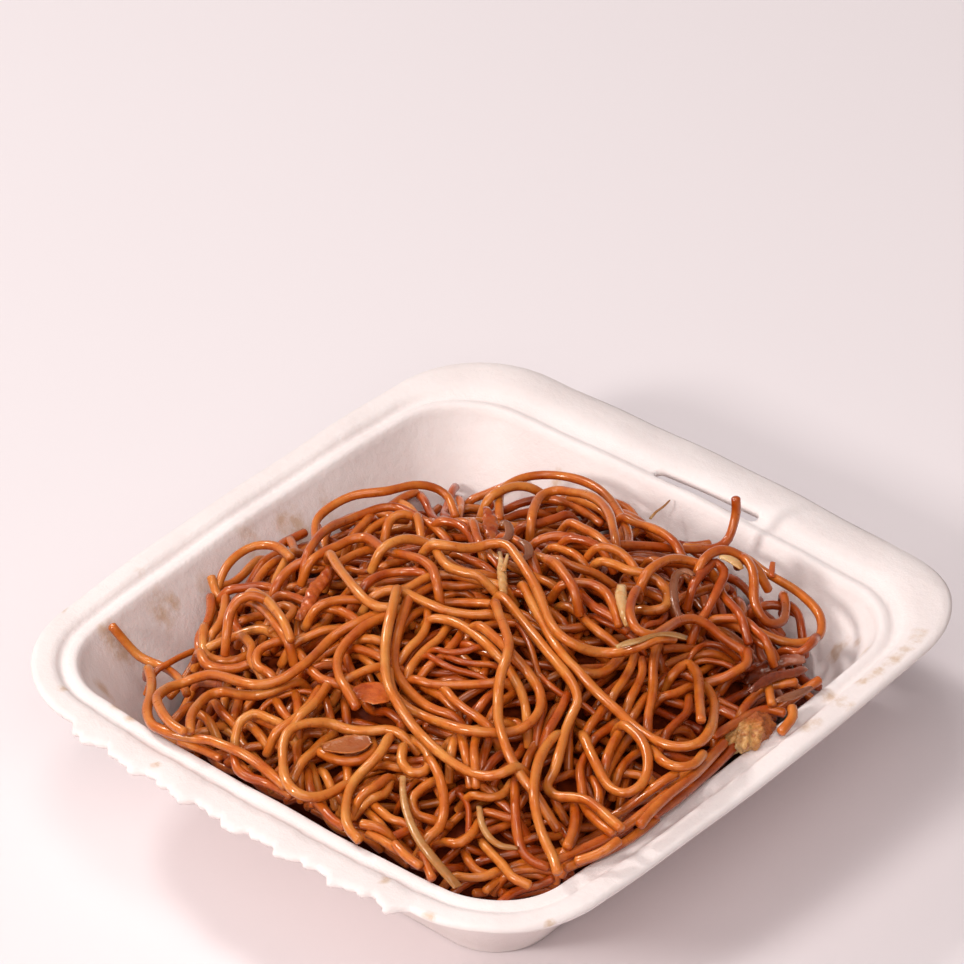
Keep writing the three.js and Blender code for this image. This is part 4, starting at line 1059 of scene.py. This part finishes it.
def torn_edge(x):
    """How far the torn strip stands proud of the flange: irregular teeth with frayed fibres."""
    end = np.clip((TORN_HALF_LENGTH - np.abs(x)) / 3, 0, 1)
    teeth = np.sin(x * 0.43 + 1) + 0.7 * np.sin(x * 0.91) + 0.5 * np.sin(x * 1.7 + 2)
    frays = 0.14 * np.sin(x * 4.1) + 0.1 * np.sin(x * 7.3 + 1)
    return end * (TORN_PROUD + TORN_RAGGED * (teeth + frays))


def tray_ring(reach, z):
    """One ring of the tray at a reach and a height, with the flange's extras past the groove."""
    on_flange = np.clip((reach - GROOVE_REACH) / (FLANGE_REACH - GROOVE_REACH), 0, 1)
    rise = np.clip((reach - FOOT_REACH) / (WALL_TOP_REACH - FOOT_REACH), 0, 1)
    if reach > WALL_TOP_REACH:
        radius = GROOVE_RADIUS + reach - GROOVE_REACH
    else:
        radius = FOOT_RADIUS + min(reach - FOOT_REACH, 0)
        radius += (WALL_TOP_RADIUS - radius) * rise
    flat = reach - radius
    top = flat + SLOT_SIDE_EXTRA * on_flange

    def side(start, end, steps):
        t = np.arange(steps) / steps
        return start + (end - start) * t, SIDE_BOW * rise * (1 - (2 * t - 1)**2)

    def corner(cx, cy, start):
        angle = start + np.arange(CORNER_STEPS) / CORNER_STEPS * np.pi / 2
        return np.column_stack([cx + radius * np.cos(angle), cy + radius * np.sin(angle)])

    near, near_swell = side(-flat, flat, TORN_STEPS)
    right, right_swell = side(-flat, top, SIDE_STEPS)
    far, far_swell = side(flat, -flat, SIDE_STEPS)
    left, left_swell = side(top, -flat, SIDE_STEPS)
    outline = np.vstack([
        np.column_stack([near, -reach - near_swell - on_flange * torn_edge(near)]),
        corner(flat, -flat, -np.pi / 2),
        np.column_stack([reach + right_swell, right]),
        corner(flat, top, 0),
        np.column_stack([far, top + radius + far_swell]),
        corner(-flat, top, np.pi / 2),
        np.column_stack([-reach - left_swell, left]),
        corner(-flat, -flat, np.pi),
    ])
    x, y = outline.T
    droop_length = FLANGE_REACH + SLOT_SIDE_EXTRA - DROOP_START_Y
    droop = np.clip((y - DROOP_START_Y) / droop_length, 0, 1)**2 * SLOT_SIDE_DROOP
    return np.column_stack([outline, z - droop])


def softened(points):
    """Small hollows and swellings of pressed pulp: fractions of a millimetre, growing upwards."""
    x, y, z = points.T
    high = np.clip((z - 4) / 30, 0, 1)
    lift = 0.22 * np.sin(x / 9 + 1.3) * np.sin(y / 11 + 0.4) + 0.12 * np.sin(x / 4.1 + y / 5.3)
    push = 0.25 * np.sin(x / 8 + y / 6) * np.sin(z / 7 + 1)
    outward = points[:, :2] / np.linalg.norm(points[:, :2], axis=1).clip(1)[:, None]
    moved = points.copy()
    moved[:, :2] += outward * (push * high)[:, None]
    moved[:, 2] += lift * high
    return moved


def slot_cutter():
    """A body as wide and long as the locking slot, through the flange."""
    half = (SLOT_LENGTH - SLOT_WIDTH) / 2
    steps = 10
    angle = np.linspace(-np.pi / 2, np.pi / 2, steps)
    ring = np.vstack([
        np.column_stack([half + SLOT_WIDTH / 2 * np.cos(angle), SLOT_WIDTH / 2 * np.sin(angle)]),
        np.column_stack([-half - SLOT_WIDTH / 2 * np.cos(angle), -SLOT_WIDTH / 2 * np.sin(angle)]),
    ])
    c, s = math.cos(SLOT_TURN), math.sin(SLOT_TURN)
    ring = ring @ np.array([[c, s], [-s, c]]) + SLOT_MIDDLE
    rings = [np.column_stack([ring, np.full(len(ring), z)]) for z in (FLANGE_Z - 5, FLANGE_Z + 5)]
    points = np.vstack([*rings, [[*SLOT_MIDDLE, FLANGE_Z - 5], [*SLOT_MIDDLE, FLANGE_Z + 5]]])
    return points, [ring_quads(2, len(ring)), end_fans(2, len(ring))]


def make_tray(material):
    """One shell from the foot's rim out under the flange and back down inside, with its slot."""
    section = [
        (FOOT_REACH - FOOT_EDGE, 0), (FOOT_REACH - 0.4, 0.4), (FOOT_REACH, FOOT_EDGE),
        (WALL_TOP_REACH + WALL, WALL_TOP_Z - WALL / 2),
        (WALL_TOP_REACH + 2.2, BEAD_Z - WALL),
        (GROOVE_REACH - 1.6, BEAD_Z - WALL),
        (GROOVE_REACH - 0.2, GROOVE_Z - WALL),
        (GROOVE_REACH + 0.5, GROOVE_Z - WALL),
        (GROOVE_REACH + 2.2, FLANGE_Z - WALL - 0.2),
        (FLANGE_REACH - 2.5, FLANGE_Z - WALL - 0.2),
        (FLANGE_REACH - 0.4, FLANGE_Z - WALL - 0.5),
        (FLANGE_REACH, FLANGE_Z - 0.8),
        (FLANGE_REACH - 0.5, FLANGE_Z - 0.1),
        (FLANGE_REACH - 2.5, FLANGE_Z),
        (GROOVE_REACH + 1.4, FLANGE_Z - 0.1),
        (GROOVE_REACH + 0.3, GROOVE_Z + 0.1),
        (GROOVE_REACH - 0.5, GROOVE_Z),
        (GROOVE_REACH - 1.8, BEAD_Z - 0.1),
        (GROOVE_REACH - 3, BEAD_Z - 0.1),
        (WALL_TOP_REACH + 0.7, WALL_TOP_Z + 0.55 * (BEAD_Z - WALL_TOP_Z)),
        (WALL_TOP_REACH, WALL_TOP_Z),
        (FOOT_REACH + 0.2, WALL + 1.6),
        (FOOT_REACH - 1.4, WALL + 0.3),
        (FOOT_REACH - 3.5, WALL),
    ]
    profile = []
    for (r0, z0), (r1, z1) in zip(section, section[1:]):
        steps = max(2, int(math.hypot(r1 - r0, z1 - z0) / PROFILE_STEP))
        for t in np.arange(steps) / steps:
            profile.append((r0 + (r1 - r0) * t, z0 + (z1 - z0) * t))
    profile.append(section[-1])
    rings = [tray_ring(reach, z) for reach, z in profile]
    count = len(rings[0])
    points = softened(np.vstack([*rings, [[0, 0, 0], [0, 0, WALL]]]))
    stain = np.zeros(len(points))
    for x, y, radius, strength in STAINS:
        away = (points[:, 0] - x)**2 + (points[:, 1] - y)**2
        stain = np.maximum(stain, strength * np.exp(-away / (2 * radius**2)))
    widest = max(range(len(profile)), key=lambda ring: profile[ring][0])
    stain[:widest * count] = 0  # the underside stays clean
    builder = Builder()
    builder.add(points, [ring_quads(len(rings), count), end_fans(len(rings), count)], stain=stain)
    tray = builder.make("pulp_tray_soft", material, ["pulp_tray"])
    cutter_builder = Builder()
    cutter_builder.add(*slot_cutter())
    cutter = cutter_builder.make("slot_cutter", material)
    cut = tray.modifiers.new("slot", "BOOLEAN")
    cut.operation = "DIFFERENCE"
    cut.object = cutter
    cut.solver = "EXACT"
    graph = bpy.context.evaluated_depsgraph_get()
    tray.data = bpy.data.meshes.new_from_object(tray.evaluated_get(graph))
    tray.modifiers.clear()
    bpy.data.objects.remove(cutter)
    return tray


# ---------------------------------------------------------------- toppings

STRIP_STEP = 0.45


def add_strip(builder, path, half_widths, thickness, sides=16, dish=0, wrinkle=0):
    """Sweeps a flat rounded section along the path. The half widths are spread evenly along it;
    dish lifts the edges, and wrinkle makes both faces uneven."""
    centres = smoothed(path, STRIP_STEP)
    share = np.linspace(0, 1, len(centres))
    half = np.interp(share, np.linspace(0, 1, len(half_widths)), half_widths)[:, None]
    across, above = across_and_above(unit_tangents(centres))
    turn = angles(sides)
    s = (share * len(centres) * STRIP_STEP)[:, None]
    folds = np.sin(s * 1.3 + 2) * np.sin(2 * turn + 0.6 * s) + 0.7 * np.sin(s * 2.9 - 3 * turn + 1)
    cap = np.minimum(1, 0.3 + 8 * np.minimum(share, 1 - share))[:, None]
    u = np.cos(turn) * half * (1 + 0.5 * wrinkle * folds)
    v = np.sin(turn) * thickness / 2 * cap * (1 + wrinkle * folds) + dish * np.cos(turn)**2
    rings = centres[:, None] + u[:, :, None] * across[:, None] + v[:, :, None] * above[:, None]
    points = np.vstack([rings.reshape(-1, 3), rings[0].mean(axis=0), rings[-1].mean(axis=0)])
    along = np.append(np.repeat(share, sides), [0, 1])
    edge = np.append(np.tile(np.cos(turn)**2, len(centres)), [1, 1])
    builder.add(points, swept_faces(len(centres), sides), along=along, edge=edge)


def lay_strip(builder, pile, pixels, half_widths, thickness, **form):
    """A strip laid on the pile along its course in view."""
    path = laid_in_view(pile, pixels, thickness / 2, max(half_widths) * 0.7)
    add_strip(builder, path, half_widths, thickness, **form)
    pile.lay(path, thickness / 2)


# Each strip: node or piece, slot, material, course in view pixels, half widths and thickness in
# millimetres, and its form. Those in LATER_STRIPS lie over the uppermost noodles.
STRIPS = [
    ("pepper_piece", "pepper", "pepper", [(354, 697), (363, 694), (373, 695), (383, 698), (391, 700)],
     [1.4, 3.2, 3.8, 3.4, 1.5], 0.9, {"dish": 0.7, "wrinkle": 0.1}),
    ("onion_slice", "onion", "petal", [(322, 750), (332, 749), (345, 748), (358, 746), (371, 742)],
     [0.8, 2.1, 2.9, 2.7, 1], 0.7, {"dish": 0.9, "wrinkle": 0.05}),
    ("meat_shred", "meat", "meat", [(331, 566), (324, 579), (314, 591), (309, 604), (298, 620)],
     [0.9, 1.5, 1.6, 1.4, 0.8], 1.9, {"wrinkle": 0.2}),
    ("pork_strip", "meat", "pork", [(744, 683), (755, 675), (766, 668), (784, 661), (805, 659)],
     [0.8, 1.7, 1.8, 1.6, 1.2], 2.0, {"wrinkle": 0.12}),
    ("pork_sliver", "meat", "pork", [(749, 692), (762, 683), (776, 676), (793, 673), (806, 668)],
     [0.6, 1.2, 1.3, 1.2, 0.8], 1.4, {"wrinkle": 0.12}),
    ("sprout_back", "stalk", "sprout", [(500, 552), (501, 563), (502, 574), (503, 585), (504, 596)],
     [0.5, 0.6, 1.1, 1.0, 0.7], 1.6, {"wrinkle": 0.15}),
    ("sprout_prong", "stalk", "sprout", [(508, 554), (506, 562), (503, 571)], [0.35, 0.5, 0.6], 0.9, {}),
    ("sprout_side", "stalk", "sprout", [(622, 585), (621, 595), (623, 606), (625, 616), (628, 626)],
     [1.0, 1.3, 1.25, 1.05, 0.7], 1.7, {"wrinkle": 0.08}),
    ("stalk_short", "stalk", "stalk", [(479, 806), (482, 824), (490, 838), (502, 846), (518, 848)],
     [0.6, 0.75, 0.8, 0.75, 0.5], 1.2, {}),
    ("onion_ring", "onion", "onion", [(500, 525), (505, 522), (509, 527), (509, 535), (504, 540),
                                      (498, 539)],
     [0.5, 0.9, 1.0, 0.9, 0.5], 0.8, {}),
    ("onion_hook", "onion", "onion", [(519, 540), (527, 545), (529, 552), (526, 558), (519, 558)],
     [0.5, 0.9, 1.0, 0.9, 0.5], 0.8, {}),
    ("onion_thread", "onion", "onion", [(694, 575), (685, 571), (677, 574), (674, 584), (674, 596),
                                        (676, 607), (680, 618)],
     [0.5, 0.9, 1.0, 0.9, 0.6], 1.2, {}),
    ("onion_scrap", "onion", "sprout", [(719, 557), (727, 558), (735, 562), (742, 569)],
     [0.5, 1.1, 1.1, 0.5], 0.8, {}),
    ("onion_root", "onion", "onion", [(776, 701), (788, 697), (801, 692), (812, 687)],
     [0.6, 1.2, 1.0, 0.4], 1.0, {}),
    ("dried_shred", "meat", "meat", [(486, 507), (489, 517), (491, 529), (490, 541)],
     [0.6, 1.5, 1.7, 1.0], 1.3, {"wrinkle": 0.25}),
]
LATER_STRIPS = [
    ("stalk_long", "stalk", "stalk", [(403, 776), (403, 792), (407, 813), (418, 838), (436, 862),
                                      (458, 887)],
     [0.65, 0.8, 0.9, 1.0, 1.1, 1.1], 1.3, {}),
    ("leaf_strip", "leaf", "leaf", [(616, 647), (628, 643), (640, 640), (655, 635), (670, 634),
                                    (687, 638)],
     [0.6, 1.0, 0.7, 0.5, 0.8, 0.7], 0.7, {}),
    ("green_fibre", "leaf", "leaf", [(650, 519), (656, 512), (663, 507), (670, 500)],
     [0.35, 0.3, 0.2], 0.4, {}),
    ("carrot_bit", "pepper", "pepper", [(772, 577), (772, 569), (773, 562)], [0.6, 0.7, 0.6], 1, {}),
]
REPLACED = {
    "pepper_piece", "onion_slice", "meat_shred", "pork_strip", "pork_sliver", "sprout_back",
    "sprout_side", "stalk_short", "stalk_long", "leaf_strip",
}


def make_strips(pile, strips, materials):
    for name, slot, stuff, pixels, half_widths, thickness, form in strips:
        builder = Builder()
        lay_strip(builder, pile, pixels, half_widths, thickness, **form)
        if name in REPLACED:
            builder.make(name + "_soft", materials[stuff], [name])
        else:
            builder.make(name, materials[stuff])


def make_fried_piece(material):
    """A lumpy scrap of batter where its solid lies: pale and flaky at one end."""
    low, high = (np.array(corner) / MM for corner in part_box("fried_piece"))
    middle = (low + high) / 2
    half = (high - low) / 2 * [1.02, 1.02, 1.25]
    rings, sides = 40, 64
    fall = (np.arange(1, rings) / rings * np.pi)[:, None]
    turn = angles(sides)
    x, y, z = np.sin(fall) * np.cos(turn), np.sin(fall) * np.sin(turn), -np.cos(fall) + 0 * turn
    lumps = 0.14 * np.sin(4 * x + 3 * y + 1) * np.sin(5 * y - 2 * z)
    lumps += 0.10 * np.sin(9 * x + 2) * np.sin(8 * y + 1) - 0.12 * np.abs(np.sin(7 * x - 5 * y + 3 * z))
    lumps += 0.05 * np.sin(17 * y + 5 * z) * np.sin(13 * x) + 0.03 * np.sin(31 * x - 23 * y)
    body = np.stack([x, y, z], axis=2) * (1 + lumps)[:, :, None]
    points = np.vstack([body.reshape(-1, 3), [[0, 0, -1], [0, 0, 1]]]) * half + middle
    builder = Builder()
    pale = np.clip(0.5 - 1.1 * (points[:, 1] - middle[1]) / half[1], 0, 1)
    builder.add(points, [ring_quads(rings - 1, sides), end_fans(rings - 1, sides)], pale=pale)
    return builder.make("fried_piece_soft", material, ["fried_piece"])


# ---------------------------------------------------------------- stage

def make_stage():
    size = 3
    mesh = bpy.data.meshes.new("backdrop")
    corners = [(-size, -size, 0), (size, -size, 0), (size, size, 0), (-size, size, 0)]
    mesh.from_pydata(corners, [], [(0, 1, 2, 3)])
    mesh.materials.append(floor_material())
    floor = bpy.data.objects.new("backdrop", mesh)
    bpy.context.scene.collection.objects.link(floor)


def add_light(name, towards_camera, rightwards, upwards, size, power, colour):
    """A square area light at a place given in metres from the tray, seen from the camera."""
    a = math.radians(CAMERA_AZIMUTH)
    right = np.array([math.cos(a), math.sin(a), 0])
    nearer = np.array([math.sin(a), -math.cos(a), 0])
    place = Vector(right * rightwards + nearer * towards_camera + np.array([0, 0, upwards]))
    data = bpy.data.lights.new(name, "AREA")
    data.size = size
    data.energy = power
    data.color = colour
    light = bpy.data.objects.new(name, data)
    light.location = place
    light.rotation_mode = "QUATERNION"
    light.rotation_quaternion = (Vector((0, 0, 0.03)) - place).to_track_quat("-Z", "Y")
    bpy.context.scene.collection.objects.link(light)


def make_light():
    add_light("key", 0.74, -0.88, 0.8, 0.22, 9, (1, 0.97, 0.95))
    add_light("top", 0, -0.12, 1.4, 0.4, 3, (1, 0.97, 0.96))
    add_light("front", 0.9, 0, 1.07, 0.9, 6, (1, 0.95, 0.94))
    add_light("glint", -0.6, -0.78, 1.0, 0.18, 6.5, (1, 0.98, 0.97))
    world = bpy.data.worlds.new("studio")
    world.use_nodes = True
    background = world.node_tree.nodes["Background"]
    background.inputs["Color"].default_value = (1, 0.94, 0.95, 1)
    background.inputs["Strength"].default_value = 0.29
    bpy.context.scene.world = world
    bpy.context.scene.view_settings.view_transform = "Standard"


# ---------------------------------------------------------------- noodles and what lies on them

TRACED_REACH = 5  # millimetres round a traced noodle where the strewn ones stay lower
BY_WALL = 7  # millimetres from the wall where they may lie higher again

# Strewn layers. The heights are how far they may rise over the heap's top: between the traced
# noodles, so that the gaps there are deep, then there by the wall, and elsewhere.
# The deep layer takes darker tints than the one over it: painted shade of the depths.
STREWN_LAYERS = [
    {"count": 1250, "lengths": (30, 90), "tries": 5, "heights": (-5.2, -4, -2.5),
     "sides": 6, "step": 2.2, "tints": (0, 0.5)},
    {"count": 480, "lengths": (40, 110), "tries": 6, "heights": (-3.7, -2, 0.8),
     "sides": 8, "step": 1.5, "tints": (0, 0.8)},
]


def traced_area(pile):
    """Where on the plan the traced noodles lie."""
    traced = np.zeros(pile.z.shape, bool)
    whole = Pile(0)
    for strand in THIN_STRANDS + LOWER_STRANDS + UPPER_STRANDS + TOP_STRANDS:
        rows, columns, _ = pile.cells(laid_in_view(whole, strand, 0.5), TRACED_REACH)
        traced[rows, columns] = True
    return traced


def make_strewn_noodles(pile, random, material):
    traced = traced_area(pile)
    laid = []
    for layer in STREWN_LAYERS:
        between, by_wall, elsewhere = layer["heights"]
        under_traced = np.where(pile.margin < BY_WALL, by_wall, between)
        pile.limit(np.where(traced, under_traced, elsewhere))
        laid.append(scatter(pile, random, layer["count"], layer["lengths"], NOODLE_RADIUS,
                            layer["tries"]))
    builder = Builder()
    for layer, paths in zip(STREWN_LAYERS, laid):
        for path in paths:
            add_noodle(builder, tucked_in(pile, path, NOODLE_RADIUS), NOODLE_RADIUS, layer["sides"],
                       layer["step"], random, layer["tints"])
    builder.make("deep_noodles", material, ["noodle_heap"])


def lay_noodles(builder, pile, random, strands, radius, tints):
    """Lays traced noodles on the pile, each over those before it."""
    for strand in strands:
        path = laid_in_view(pile, strand, radius)
        pile.lay(path, radius)
        add_noodle(builder, tucked_in(pile, path, radius), radius, 12, 1.3, random, tints)


def make_heap():
    random = np.random.default_rng(7)
    pile = Pile(CORE_DEPTH)
    noodle = noodle_material()
    toppings = topping_materials()
    make_core(core_material())
    make_strewn_noodles(pile, random, noodle)
    builder = Builder()
    # The tint ranges run darker for the lower and thinner noodles and paler for the top ones: painted
    # shade of the depths.
    for route in STANDING_NOODLES:
        path = smoothed(route, 1)
        pile.lay(path, NOODLE_RADIUS)
        add_noodle(builder, path, NOODLE_RADIUS, 10, 1.5, random, (0.3, 0.9))
    lay_noodles(builder, pile, random, THIN_STRANDS, 0.7, (0, 0.4))
    lay_noodles(builder, pile, random, LOWER_STRANDS, 1.0, (0.1, 0.8))
    lay_noodles(builder, pile, random, UPPER_STRANDS, 1.05, (0.2, 0.95))
    make_strips(pile, STRIPS, toppings)
    lay_noodles(builder, pile, random, TOP_STRANDS, 1.08, (0.4, 1))
    make_strips(pile, LATER_STRIPS, toppings)
    make_fried_piece(fried_material())
    builder.make("top_noodles", noodle, ["noodle_heap"])


# ---------------------------------------------------------------- build

make_camera()
make_stage()
make_light()
make_tray(pulp_material())
make_heap()
